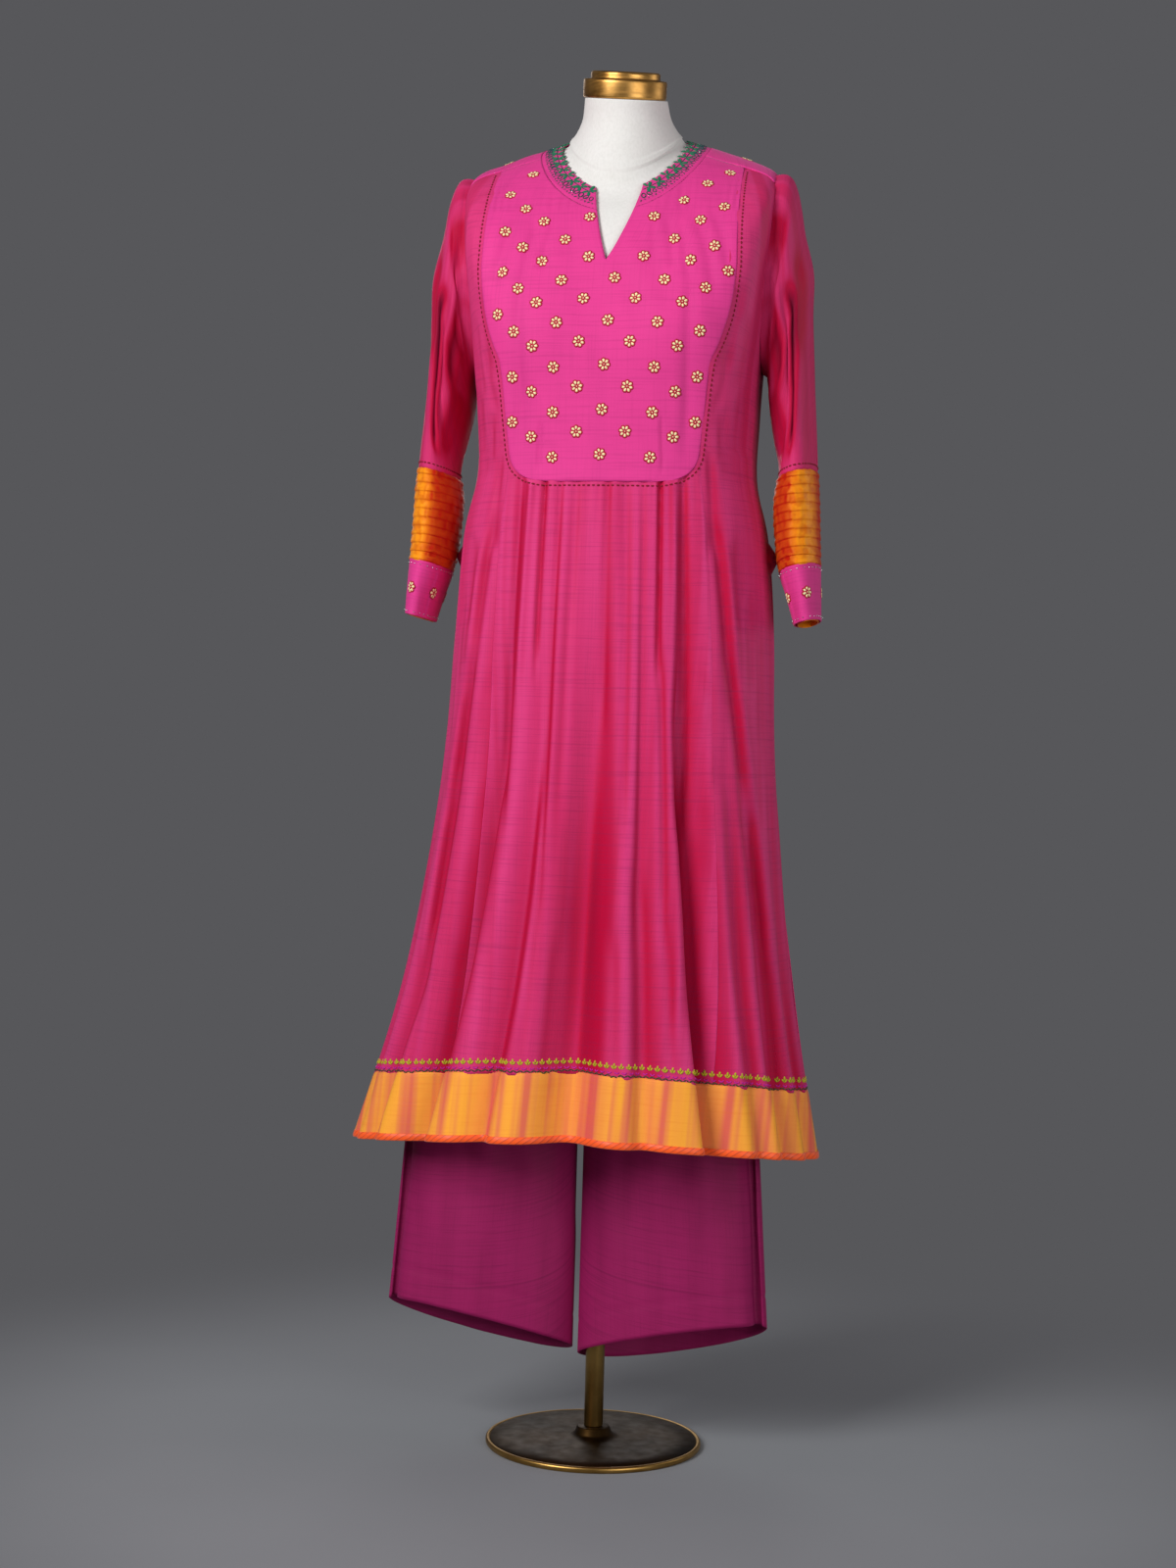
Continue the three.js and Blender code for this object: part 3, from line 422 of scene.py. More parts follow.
def shot_turn_and_shade(points, relief, flip):
    """How far the silk turns to its second colour, partly shot colour and partly painted shade: on
    slopes of the relief, more on those turned one way as the light falls, and in its troughs.
    """
    step = np.linalg.norm(np.gradient(points, axis=1), axis=-1)
    slope = flip * np.gradient(relief, axis=1) / np.maximum(step, 0.5)
    # Painted shade: darker where the cloth lies below its softened neighbours, and slopes turned one
    # way weigh more than the other
    trough_shade = soften(relief, 14) - relief
    return np.clip(1.7 * np.maximum(slope, 0) + 0.7 * np.maximum(-slope, 0)
                   + 0.16 * trough_shade, 0, 1)


def cloth_grid(points, push=0, flip=1, closed=False, start=0, u_sign=1, shot_and_shade=0, folds=0,
               level=None):
    """A stretch of cloth: its points moved along their facing, with its flat cut.

    Its weft runs level at one height, or else along its top edge. Its shot colour and painted shade
    run from 0 on the crests to 1 on slopes and in the troughs, and on to 2 where painted shade
    darkens a fold too deep for light.
    """
    out = grid_normals(points, closed) * flip
    push = np.broadcast_to(push, points.shape[:2])
    u, v = cut_lengths(points, start)
    if level is not None:
        nearest = np.abs(points[..., 2] - level).argmin(axis=0)[None]
        v = v - np.take_along_axis(v - points[..., 2] * MM, nearest, 0)
    turn = shot_turn_and_shade(points, push + folds, flip)
    # Painted shade: folds deeper than 15 mm are darkened, less so towards the hem
    lit_low = 0.2 + 0.55 * smooth((points[..., 2] - 420) / 300)
    deep = np.clip((-folds - 15 + 0 * push) / 16, 0, 1) * lit_low
    shot_and_shade = np.clip(soften(turn, 1) + shot_and_shade, 0, 1) + deep + np.clip(shot_and_shade - 1, 0, 1)
    return {"points": points + out * push[..., None], "out": out, "u": u * u_sign, "v": v,
            "flip": flip, "shot_and_shade": shot_and_shade}


def mesh_object(name, points, faces, material):
    mesh = bpy.data.meshes.new(name)
    mesh.from_pydata((np.asarray(points) * MM).tolist(), [], np.asarray(faces).tolist())
    mesh.materials.append(material)
    mesh.shade_smooth()
    piece = bpy.data.objects.new(name, mesh)
    bpy.context.scene.collection.objects.link(piece)
    return piece


def weld(mesh):
    """Merges the points that lie within 0.02 mm of each other."""
    worked = bmesh.new()
    worked.from_mesh(mesh)
    bmesh.ops.remove_doubles(worked, verts=worked.verts, dist=0.02 * MM)
    worked.to_mesh(mesh)
    worked.free()


made = {}  # each cloth piece by name, with its flat cut and what is sewn on it


def cloth(name, grids, material, slot, held, rests_on, wall=WALL, welded=False):
    """A thin closed shell from its grids, which stands for the CAD node of the same name."""
    points, faces, uvs, shot_and_shade_values, count = [], [], [], [], 0
    for grid in grids:
        rows, cols = grid["points"].shape[:2]
        quads = grid_quads(rows, cols)
        if grid["flip"] < 0:
            quads = quads[:, ::-1]
        uvs.append(np.stack([grid["u"].ravel(), grid["v"].ravel()], -1)[quads.ravel()])
        points.append(grid["points"].reshape(-1, 3))
        shot_and_shade_values.append(grid["shot_and_shade"].ravel())
        faces.append(quads + count)
        count += rows * cols
    piece = mesh_object(name, np.concatenate(points), np.concatenate(faces), material)
    layer = piece.data.uv_layers.new(name="cut")
    layer.data.foreach_set("uv", np.concatenate(uvs).astype(np.float32).ravel())
    shot_and_shade = piece.data.attributes.new("shot_and_shade", "FLOAT", "POINT")
    shot_and_shade.data.foreach_set("value", np.concatenate(shot_and_shade_values).astype(np.float32))
    if welded:
        weld(piece.data)
    shell = piece.modifiers.new("wall", "SOLIDIFY")
    shell.thickness = wall * MM
    shell.offset = -1
    hang(piece, slot, name)
    width = sum(np.ptp(g["u"], axis=1).max() for g in grids)
    length = max(np.ptp(g["v"], axis=0).max() for g in grids)
    area = sum(p.area for p in piece.data.polygons)
    made[name] = {"piece": piece, "held": held, "rests_on": rests_on, "flat": (width, length),
                  "area": min(area, width * length), "slot": slot, "sewn": []}


# Materials
def colour(text):
    """An sRGB hex value as linear RGBA."""
    parts = [int(text[i:i + 2], 16) / 255 for i in (1, 3, 5)]
    linear = [p / 12.92 if p <= 0.04045 else ((p + 0.055) / 1.055) ** 2.4 for p in parts]
    return (*linear, 1)


def add_node(tree, kind, inputs=None, **settings):
    """Adds a node with its settings, its values and its links."""
    node = tree.nodes.new(kind)
    for name, value in settings.items():
        setattr(node, name, value)
    for socket, value in (inputs or {}).items():
        if isinstance(value, bpy.types.NodeSocket):
            tree.links.new(value, node.inputs[socket])
        else:
            node.inputs[socket].default_value = value
    return node


def new_material(name, **values):
    """A material with one Principled shader, whose plain values are set on its own sockets."""
    material = bpy.data.materials.new(name)
    material.use_nodes = True
    tree = material.node_tree
    tree.nodes.clear()
    shader = add_node(tree, "ShaderNodeBsdfPrincipled")
    for socket, value in values.items():
        shader.inputs[socket.replace("_", " ")].default_value = value
    add_node(tree, "ShaderNodeOutputMaterial", {"Surface": shader.outputs[0]})
    return material, tree, shader


def pattern(tree, source, scale, detail=3, rough=0.5):
    """Noise stretched by a scale per axis, in features to the metre."""
    mapped = add_node(tree, "ShaderNodeMapping", {"Vector": source, "Scale": scale})
    return add_node(tree, "ShaderNodeTexNoise", {
        "Vector": mapped.outputs[0], "Scale": 1, "Detail": detail, "Roughness": rough}).outputs[0]


def ramp(tree, value, low, high, out_low=0, out_high=1):
    return add_node(tree, "ShaderNodeMapRange", {
        "Value": value, "From Min": low, "From Max": high,
        "To Min": out_low, "To Max": out_high}).outputs[0]


def blend(tree, share, first, second):
    """Two colours or sockets mixed by a share."""
    return add_node(tree, "ShaderNodeMix", {0: share, 6: first, 7: second},
                    data_type="RGBA").outputs[2]


def finished(material, tree, shader, base, strength, raised_mm, height):
    """The material with its colour, and with its relief as a bump of a real height."""
    tree.links.new(base, shader.inputs["Base Color"])
    lift = add_node(tree, "ShaderNodeBump", {
        "Strength": strength, "Distance": raised_mm * MM, "Height": height})
    tree.links.new(lift.outputs[0], shader.inputs["Normal"])
    return material


def woven(name, main, turned, slub, deep=None, line_dark=0.3, weft=(14, 420), warp=(620, 14),
          bump=0.35, bands=(26, 1.6), banded=0.3, sheen=(0.2, 0.4, "#ffffff"), **values):
    """Cloth from its threads: weft lines that thicken in slubs, finer warp, two thread colours.
    The second colour also serves as painted shade, and the deep colour as painted shade in folds too
    deep for light.

    Patterns are given in features to the metre, across and down. The sheen is how much of it
    there is, its roughness and its tint.
    """
    material, tree, shader = new_material(
        name, Sheen_Weight=sheen[0], Sheen_Roughness=sheen[1], Sheen_Tint=colour(sheen[2]), **values)
    cut = add_node(tree, "ShaderNodeUVMap", uv_map="cut").outputs[0]
    shot_and_shade = add_node(tree, "ShaderNodeAttribute", attribute_name="shot_and_shade").outputs["Fac"]
    wefts = pattern(tree, cut, (*weft, 1), detail=4, rough=0.6)
    warps = pattern(tree, cut, (*warp, 1), detail=2)
    bars = ramp(tree, pattern(tree, cut, (1.6, 130, 1), detail=1), 0.66, 0.72)
    streaks = pattern(tree, cut, (*bands, 1), detail=2)
    base = blend(tree, ramp(tree, streaks, 0.46, 0.62, 0, banded), colour(main), colour(turned))
    # Painted shade: the point's shot_and_shade value turns the colour to the second one
    base = blend(tree, shot_and_shade, base, colour(turned))
    base = blend(tree, ramp(tree, wefts, 0.5, 0.68, 0, line_dark), base, colour(slub))
    base = blend(tree, ramp(tree, warps, 0.5, 0.75, 0, line_dark * 0.5), base, colour(slub))
    base = blend(tree, ramp(tree, bars, 0, 1, 0, line_dark * 0.7), base, colour(slub))
    # Painted shade: the deep colour where a fold is too deep for light
    if deep:
        base = blend(tree, ramp(tree, shot_and_shade, 1, 2, 0, 0.92), base, colour(deep))
    height = add_node(tree, "ShaderNodeMath", {0: warps, 1: 0.6, 2: wefts},
                      operation="MULTIPLY_ADD").outputs[0]
    return finished(material, tree, shader, base, bump, 0.6, height)


# Handloom silk shot in two colours: the rose face turns crimson in its folds, partly as shot silk
# and partly as painted shade, with maroon painted shade in the deepest folds; slubs show as fine
# darker weft lines (real threads are 0.2 mm, drawn at 2 mm so that they show)
SILK_ROSE = woven("shot silk, handwoven, slubbed", "#d83c7a", "#ba0e3a", "#8a2452", "#540820",
                  weft=(13, 460), bands=(30, 1.1), banded=0.38, Roughness=0.5,
                  Specular_IOR_Level=0.14, Specular_Tint=colour("#ff9ccc"),
                  sheen=(0.07, 0.4, "#e070b0"))
# Fine cotton and silk, matt and even, bright pink
# Its darker second colour is painted shade on the slopes and in the troughs of its creases
YOKE_PINK = woven("cotton silk, plain woven, dyed pink", "#e23a8e", "#cf3484", "#a8286c",
                  weft=(11, 420), bump=0.2, Roughness=0.7, Specular_IOR_Level=0.2,
                  sheen=(0.2, 0.4, "#f0a0cc"))
# Plum cotton of the pants, calendered, faint weft
# Its darker second colour is painted shade on the slopes and in the troughs of its creases
TROUSER_PLUM = woven("cotton, plain woven, plum dyed", "#981858", "#84104a", "#66093c",
                     line_dark=0.34, weft=(11, 400), bump=0.25, Roughness=0.66,
                     Specular_IOR_Level=0.2, sheen=(0.2, 0.4, "#b04088"))
# Orange silk with a mauve warp: upright streaks of rose where the warp floats.
# The same rose is painted shade on the folds' slopes and troughs, and dark red is painted shade in
# the deepest folds.
ORANGE_SILK = woven("shot silk, orange and rose, handwoven", "#ffac3c", "#d8485c", "#e8742a",
                    "#8a2420", line_dark=0.22, warp=(300, 5), bands=(46, 0.9), banded=0.72,
                    Roughness=0.4, Specular_IOR_Level=0.22, Specular_Tint=colour("#ffc070"),
                    sheen=(0.06, 0.3, "#ffc080"))
# Orange silk of the sleeve bands, crushed between its tucks; its red second colour is painted shade
# on the band's sides and in the tucks' underfolds
TUCKED_SILK = woven("shot silk, orange, pin tucked", "#ff9c1c", "#b81c10", "#d8600e",
                    line_dark=0.2, weft=(40, 300), warp=(110, 70), bump=0.35, bands=(60, 90),
                    banded=0.35, Roughness=0.42, Specular_IOR_Level=0.2,
                    Specular_Tint=colour("#ffc070"), sheen=(0.05, 0.3, "#ffb860"))


def striped_piping():
    """Orange bias binding with thin dark red woven stripes, 5 mm apart along the hem."""
    material, tree, shader = new_material("silk, bias cut, striped", Roughness=0.5,
                                          Sheen_Weight=0.2)
    cut = add_node(tree, "ShaderNodeUVMap", uv_map="cut").outputs[0]
    mapped = add_node(tree, "ShaderNodeMapping", {
        "Vector": cut, "Rotation": (0, 0, 55 * DEG), "Scale": (63, 63, 63)})
    stripes = add_node(tree, "ShaderNodeTexWave", {
        "Vector": mapped.outputs[0], "Scale": 1, "Distortion": 2.2, "Detail": 1}).outputs[1]
    base = blend(tree, ramp(tree, stripes, 0.86, 0.99, 0, 0.7), colour("#ff5a0c"), colour("#a82c14"))
    return finished(material, tree, shader, base, 0.3, 0.4, stripes)


PIPING = striped_piping()


def jersey():
    """Cotton jersey pulled over the form: off-white, a fine knit, faint greying by handling."""
    material, tree, shader = new_material("cotton jersey, knitted, off-white", Roughness=0.85,
                                          Sheen_Weight=0.2)
    place = add_node(tree, "ShaderNodeTexCoord").outputs["Object"]
    knit = pattern(tree, place, (420, 420, 260), detail=2)
    marks = pattern(tree, place, (9, 9, 14), detail=4, rough=0.65)
    base = blend(tree, ramp(tree, marks, 0.45, 0.8, 0, 0.35), colour("#e4e2de"), colour("#c9c5bd"))
    base = blend(tree, ramp(tree, knit, 0.4, 0.7, 0, 0.12), base, colour("#a8a49c"))
    return finished(material, tree, shader, base, 0.25, 0.4, knit)


FORM_CLOTH = jersey()


def metal(name, bright, worn, roughness, grain, wear):
    """Spun or turned metal: rings of tool marks, worn patches, brighter and rougher by turns."""
    material, tree, shader = new_material(name, Metallic=1.0)
    place = add_node(tree, "ShaderNodeTexCoord").outputs["Object"]
    marks = pattern(tree, place, grain, detail=2)
    patches = pattern(tree, place, (wear, wear, wear), detail=5, rough=0.6)
    base = blend(tree, ramp(tree, patches, 0.4, 0.7), colour(bright), colour(worn))
    tree.links.new(ramp(tree, marks, 0.3, 0.8, roughness, roughness + 0.2),
                   shader.inputs["Roughness"])
    return finished(material, tree, shader, base, 0.2, 0.3, marks)


CAP_BRASS = metal("brass, spun, aged", "#cc9a54", "#8c602a", 0.3, (6, 6, 500), 26)
BASE_BRONZE = metal("steel, bronze plated, spun", "#3a2812", "#21160a", 0.44, (60, 60, 6), 12)
RIM_BRASS = metal("brass, rolled rim", "#a88448", "#7c5c2c", 0.3, (6, 6, 300), 18)
POLE_METAL = metal("steel tube, brass plated", "#a08048", "#6f5326", 0.3, (200, 200, 6), 14)


def thread(name, tint, shaded=0.4, gloss=0.25):
    """Stranded floss: fine cross streaks over one dye."""
    material, tree, shader = new_material(name, Roughness=0.55, Specular_IOR_Level=gloss,
                                          Sheen_Weight=0.1)
    place = add_node(tree, "ShaderNodeTexCoord").outputs["Object"]
    streaks = pattern(tree, place, (900, 900, 900), detail=1)
    base = blend(tree, ramp(tree, streaks, 0.4, 0.7, 0, shaded), colour(tint), colour("#40202a"))
    tree.links.new(base, shader.inputs["Base Color"])
    return material


CREAM_FLOSS = thread("cotton floss, cream, satin stitched", "#fbeeb4", 0.22)
RED_THREAD = thread("cotton thread, crimson, couched", "#b80e34", 0.25)
STITCH_THREAD = thread("cotton thread, dark red, running stitched", "#84081f", 0.2, 0.15)
SEAM_THREAD = thread("cotton thread, deep pink, sunk in a seam", "#9c1c62", 0.2, 0.1)
GREEN_FLOSS = thread("cotton floss, green, satin stitched", "#0a7450", 0.25)
TEAL_THREAD = thread("cotton thread, dark teal, stem stitched", "#17484c", 0.25)
LEAF_THREAD = thread("cotton floss, yellow green", "#bcb018", 0.25)
CHAIN_THREAD = thread("cotton thread, grey green, chain stitched", "#3c4428", 0.3)
MAGENTA_THREAD = thread("cotton thread, magenta", "#c814a0", 0.2)
SEQUIN = new_material("plastic film, silvered, stamped", Metallic=1.0, Roughness=0.18,
                      Base_Color=colour("#dfe6e4"))[0]

# Creases on the front, listed by place across and height
YOKE_CREASES = [
    (62, 1408, 74, 1330, 5, 1.6, 2), (76, 1402, 92, 1318, 5, 1.5, 2),
    (48, 1400, 52, 1345, 4, 1.2, 0), (92, 1412, 122, 1300, 7, 2.2, 5),
    (-62, 1408, -74, 1330, 5, 1.6, -2), (-80, 1402, -96, 1318, 5, 1.5, -2),
    (106, 1420, 136, 1330, 7, 1.8, 6), (-100, 1414, -128, 1310, 7, 2.0, -5),
    (66, 1180, 69, 1108, 2.6, 2.0, 0), (-70, 1172, -72, 1110, 2.6, 1.6, 0),
    (94, 1350, 92, 1120, 7, 2.4, 2), (-96, 1340, -92, 1130, 7, 2.2, -2),
]
SIDE_CREASES = [
    (150, 1330, 128, 1215, 7, 2.4, 3), (156, 1300, 138, 1190, 5, 2.0, 2),
    (142, 1262, 122, 1176, 5, 1.6, 2), (155, 1226, 147, 1140, 5, 1.8, -2),
    (126, 1190, 140, 1100, 8, 2.0, 4), (117, 1150, 124, 1010, 5, 3.0, 2),
    (129, 1168, 130, 1128, 1.6, 0.7, 0), (126, 1132, 162, 1142, 1.6, 0.7, 3),
    (124, 1080, 146, 890, 5.4, 4.6, 2), (133, 1060, 155, 870, 5, -3.2, 2),
    (142, 930, 166, 740, 5.6, 5.6, 2), (151, 900, 175, 720, 5, -3.6, 2),
    (160, 780, 190, 560, 6, 5.2, 2), (170, 760, 199, 540, 6, -3.2, 2),
    (184, 600, 207, 400, 7, 3.6, 2), (152, 1060, 160, 930, 6, 2.0, -2),
    (121, 900, 140, 740, 8, 2.2, 3), (126, 860, 120, 700, 9, 1.8, -3),
    (171, 960, 182, 800, 5, 1.8, 2), (163, 1000, 170, 860, 4, 1.6, 0),
    (134, 700, 146, 520, 9, 2.0, 3), (150, 600, 158, 420, 9, 2.0, 0),
]
SKIRT_CREASES = [
    (7, 1180, 9, 800, 5, 1.8, 0), (26, 1180, 38, 660, 6, 2.6, 1), (45, 1180, 56, 560, 3.4, 2.2, 2),
    (64, 1180, 69, 860, 2.6, 5.0, 1), (69, 960, 86, 560, 4.4, 3.8, 2),
    (76, 1176, 88, 830, 4, -2.6, 2), (87, 1180, 99, 690, 4.5, 4.2, 3),
    (94, 760, 104, 470, 5, -2.4, 2), (-25, 1180, -37, 660, 6, 2.6, -1),
    (-43, 1180, -54, 560, 3.4, 2.2, -2), (-62, 1176, -68, 860, 2.6, 3.4, -1),
    (-76, 1176, -88, 830, 4, -2.2, -2), (-89, 1180, -101, 690, 4.5, 3.8, -3),
    (52, 700, 66, 420, 7, 2.2, 2), (30, 620, 40, 400, 8, 1.8, 0), (84, 640, 100, 420, 6, 2.2, 2),
    (-52, 700, -68, 420, 7, 2.2, -2), (-30, 620, -42, 400, 8, 1.8, 0),
]


def gathers(x, z, seam, high=0.75, pitch=15.5, reach=45):
    """Small uneven pleats that die out below a seam, some deep and some nearly flat."""
    below = np.maximum(0, seam - z)
    deep = 0.6 + 0.4 * np.sin(x / 11.3 + 1)
    fade = deep * np.exp(-below / reach) * (1 - np.exp(-below / 5))
    return high * fade * np.sin(ROUND * x / pitch + 1.6 * np.sin(x / 19) + 0.8 * np.sin(x / 7.3))


def skirt_push(points, angle):
    """The creases of skirt and side panels together, so that they run on across the seams."""
    x, z = across_and_up(points)
    return (creases(x, z, SKIRT_CREASES) + creases(np.abs(x), z, SIDE_CREASES)
            + waves(5, angle * WAVE_REACH, z, 0.28, (26, 70), (240, 700)))


def seam_groove(away, z):
    """The princess seam's groove, which fades where the skirt begins to fold."""
    return -0.6 * np.exp(-((away / 1.8) ** 2)) * (0.04 + 0.96 * smooth((z - 850) / 80))


# Kurti
def build_neck_band():
    rows = np.linspace(NECK_EDGE, BAND_SEAM + 0.01, 16)[:, None]
    right = slit_angle(1, lambda angle: rows + 0 * angle)
    left = slit_angle(-1, lambda angle: rows + 0 * angle)
    angle = mix(right, left + ROUND, np.linspace(0, 1, 260)[None])
    points = tunic(angle, rows + 0 * angle)
    share = np.linspace(0, 1, 16)[:, None]
    rolled = RAISED * (1 - share**6) - 0.5 * (1 - share) ** 8
    points_grid = cloth_grid(points, rolled + waves(3, angle * 85, rows * 25, 0.18,
                                                    (20, 45), (30, 60)), start=130)
    cloth("neck_band", [points_grid], YOKE_PINK, "yoke_pink", "stretched", ["form_torso"])


def build_front_yoke():
    bottom = row_table(YOKE_BOTTOM + 0 * ALL_ANGLES, UNDER_BUST, HIGH_HIP)
    share = np.linspace(0, 1, 150)[:, None]
    rows = lambda angle: mix(BAND_SEAM - 0.03, bottom(angle), share)

    def past_edge(angle):
        point = figure(angle, rows(angle))
        return point[..., 0] - yoke_half(point[..., 2])

    outer = crossing(past_edge, 0 * share, side_seam(rows(1.3)))
    halves = []
    for side in (1, -1):
        inner = slit_angle(side, rows)
        below = figure(0.0, rows(0.0))[..., 2] < SLIT_END[1]
        centre = crossing(lambda a: figure(a, rows(a))[..., 0] - SLIT_END[0],
                          0 * share - 0.3, 0 * share + 0.3)
        inner = np.where(below, centre, inner)
        angle = mix(inner, side * outer, np.linspace(0, 1, 62)[None])
        points = tunic(angle, rows(angle))
        x, z = across_and_up(points)
        edge = smooth((yoke_half(z) - np.abs(x)) / 3) * smooth((z - YOKE_BOTTOM) / 3)
        top = gathers(x, -z, -1409, 0.7, 9.5, 30) * smooth((z - 1300) / 60)
        push = (RAISED * (0.55 + 0.45 * edge) + creases(x, z, YOKE_CREASES) + top
                + waves(7, x, z, 0.35, (30, 80), (60, 200)))
        halves.append(cloth_grid(points, push, flip=side, u_sign=side) | {"v": z * MM})
    middle = (halves[0]["points"][:, 0] + halves[1]["points"][:, 0]) / 2
    for half in halves:
        half["points"][below[:, 0], 0] = middle[below[:, 0]]
    cloth("front_yoke", halves, YOKE_PINK, "yoke_pink", "gathered", ["form_torso"], welded=True)


def in_armhole(point):
    return 1 - (point[..., 1] / ARMHOLE_DEEP) ** 2 - ((point[..., 2] - ARMHOLE_Z)
                                                      / ARMHOLE_TALL) ** 2


YOKE_TUCK = 8  # how far the panels go in under the yoke
CORNER_TOP = 1146  # height where the yoke's rounded corner ends and the princess seam starts
UNDER_YOKE_Z = 1100  # height at which the weft of every panel runs level
SKIRT_REACH, WAVE_REACH = 170, 190  # mean distances from the pole, which turn angles into mm


def edged(count):
    """Even shares from 0 to 1, with the outermost close to each edge so that edges shade crisply."""
    shares = np.linspace(0, 1, count)
    shares[[1, -2]] = 0.002, 0.998
    return shares[None]


def build_front_sides():
    rows = np.concatenate([np.linspace(6.12, 12.6, 110), np.linspace(12.63, HEM, 180)])[:, None]

    def past_yoke(angle):
        point = figure(angle, rows)
        return point[..., 0] - (yoke_half(point[..., 2]) - YOKE_TUCK)

    edge = crossing(past_yoke, 0 * rows, side_seam(rows))
    seam_z = figure(princess(rows), rows)[..., 2]
    inner = mix(edge, princess(rows), smooth((CORNER_TOP - seam_z) / 10))
    outer = crossing(lambda angle: in_armhole(figure(angle, rows)), inner, side_seam(rows))
    for side, name in SIDES:
        angle = side * mix(inner, outer, edged(59))
        row = panel_row(angle, rows + 0 * angle)
        points = front_cloth(angle, row)
        away = (np.abs(angle) - princess(rows)) * SKIRT_REACH
        push = skirt_push(points, angle) + seam_groove(away, points[..., 2]) * (seam_z < 1140)
        # Painted shade: the side panels are tinted a little more crimson than the front
        grid = cloth_grid(points, push, flip=side, u_sign=side, shot_and_shade=0.05,
                          folds=fold_push(angle, points[..., 2])[0], level=UNDER_YOKE_Z)
        cloth(f"front_side_{name}", [grid], SILK_ROSE, "silk_rose", "hung", ["form_torso"])


def build_front_skirt():
    across = 2 * edged(151) - 1
    top_x = np.abs(figure(across * PRINCESS_TOP * DEG, WAIST)[..., 0])
    corner = YOKE_EDGE[:21]
    top_z = np.interp(top_x, corner[:, 0], corner[:, 1] + YOKE_TUCK, right=CORNER_TOP)
    top_z = np.where(top_x < YOKE_FLAT, YOKE_BOTTOM + YOKE_TUCK, np.minimum(top_z, CORNER_TOP))
    top = row_of_height(figure, across * PRINCESS_TOP * DEG, top_z, UNDER_BUST, HIGH_HIP)
    share = np.linspace(0, 1, 210)[:, None]
    rows = mix(top, HEM, share)
    angle = across * princess(rows)
    points = tunic(angle, panel_row(angle, rows))
    x, z = across_and_up(points)
    push = skirt_push(points, angle) + gathers(x, z, YOKE_BOTTOM + 2)
    below = np.maximum(0, top_z - YOKE_TUCK - z)  # the folds rise only under the yoke's edge
    push = np.minimum(push, 0.2 + 0.3 * below)
    push = push + seam_groove((1 - np.abs(across)) * princess(rows) * SKIRT_REACH, z)
    grid = cloth_grid(points, push, start=75, folds=fold_push(angle, z)[0], level=UNDER_YOKE_Z)
    cloth("front_skirt", [grid], SILK_ROSE, "silk_rose", "gathered", ["front_yoke"])


def back_limit(rows_of):
    """The armhole's edge or the side seam, going from the middle of the back to the side."""
    start = side_seam(rows_of(math.pi / 2))
    turn = crossing(lambda t: in_armhole(figure(math.pi - t, rows_of(math.pi - t))),
                    0 * start, math.pi - start)
    return math.pi - turn


def build_back():
    low = row_table(BACK_YOKE_Z + 0 * ALL_ANGLES, SHOULDER, UNDER_BUST)
    share = np.linspace(0, 1, 56)[:, None]
    rows = lambda angle: mix(BAND_SEAM - 0.03, low(angle), share)
    start = back_limit(rows)
    angle = mix(start, ROUND - start, np.linspace(0, 1, 130)[None])
    points = tunic(angle, rows(angle))
    x, z = across_and_up(points)
    push = RAISED + waves(11, x, z, 0.5, (40, 110), (60, 160))
    grid = cloth_grid(points, push, start=65, level=BACK_YOKE_Z)
    cloth("back_yoke", [grid], YOKE_PINK, "yoke_pink", "stretched", ["form_torso"])

    high = row_table(BACK_YOKE_Z + 6 + 0 * ALL_ANGLES, SHOULDER, UNDER_BUST)
    share = np.linspace(0, 1, 210)[:, None]
    rows = lambda angle: mix(high(angle), HEM, share)
    start = back_limit(rows)
    angle = mix(start, ROUND - start, np.linspace(0, 1, 170)[None])
    row = rows(angle)
    points = tunic(angle, panel_row(angle, row))
    x, z = across_and_up(points)
    push = (gathers(x, z, BACK_YOKE_Z + 2, 1.4, 15, 80)
            + waves(13, (angle - math.pi) * WAVE_REACH, z, 0.9, (28, 80), (220, 600)))
    grid = cloth_grid(points, push, start=85, folds=fold_push(angle, z)[0], level=UNDER_YOKE_Z)
    cloth("back_panel", [grid], SILK_ROSE, "silk_rose", "hung", ["back_yoke"])


def build_borders():
    parts = [("front", np.linspace(-math.pi / 2, math.pi / 2, 300)),
             ("back", np.linspace(math.pi / 2, 1.5 * math.pi, 260))]
    heights = np.linspace(BORDER_HEIGHT, 3, 26)
    # The binding's section round the hem: height on it and how far it stands out
    section = [(8, 1.3), (7.4, 1.7), (4, 1.8), (1, 1.6), (0.1, 0.9), (-0.2, -0.4),
               (0.1, -1.7), (1, -2.3), (4, -2.4), (8, -2.1)]
    for name, angle in parts:
        strip = np.stack([tunic(angle, hem_row(angle, float(h))) for h in heights])
        z = strip[..., 2]
        folds = fold_push(angle[None] + 0 * z, z)[0]
        ripple = waves(17, angle[None] * 210 + 0 * z, z, 0.35, (16, 50), (200, 500))
        raised = 0.7 * smooth((BORDER_HEIGHT - heights[:, None]) / 5) - 0.1
        grid = cloth_grid(strip, raised + ripple, start=len(angle) // 2, folds=0.4 * folds)
        cloth(f"border_{name}", [grid], ORANGE_SILK, "orange_silk", "hung",
              ["front_skirt" if name == "front" else "back_panel"])
        low = np.stack([tunic(angle, hem_row(angle, float(max(0, h)))) for h, _ in section])
        low[..., 2] += np.array([min(0, h) for h, _ in section])[:, None]
        flat = np.stack([tunic(angle, hem_row(angle, h)) for h in (9.0, 6.0, 3.0, 0.0)])
        out = grid_normals(flat)[2]
        out_from = np.array([o for _, o in section])[:, None, None]
        points = low + out[None] * out_from
        grid = cloth_grid(points, 0, start=len(angle) // 2)
        cloth(f"hem_binding_{name}", [grid], PIPING, "hem_piping", "folded", [f"border_{name}"],
              wall=0.4)


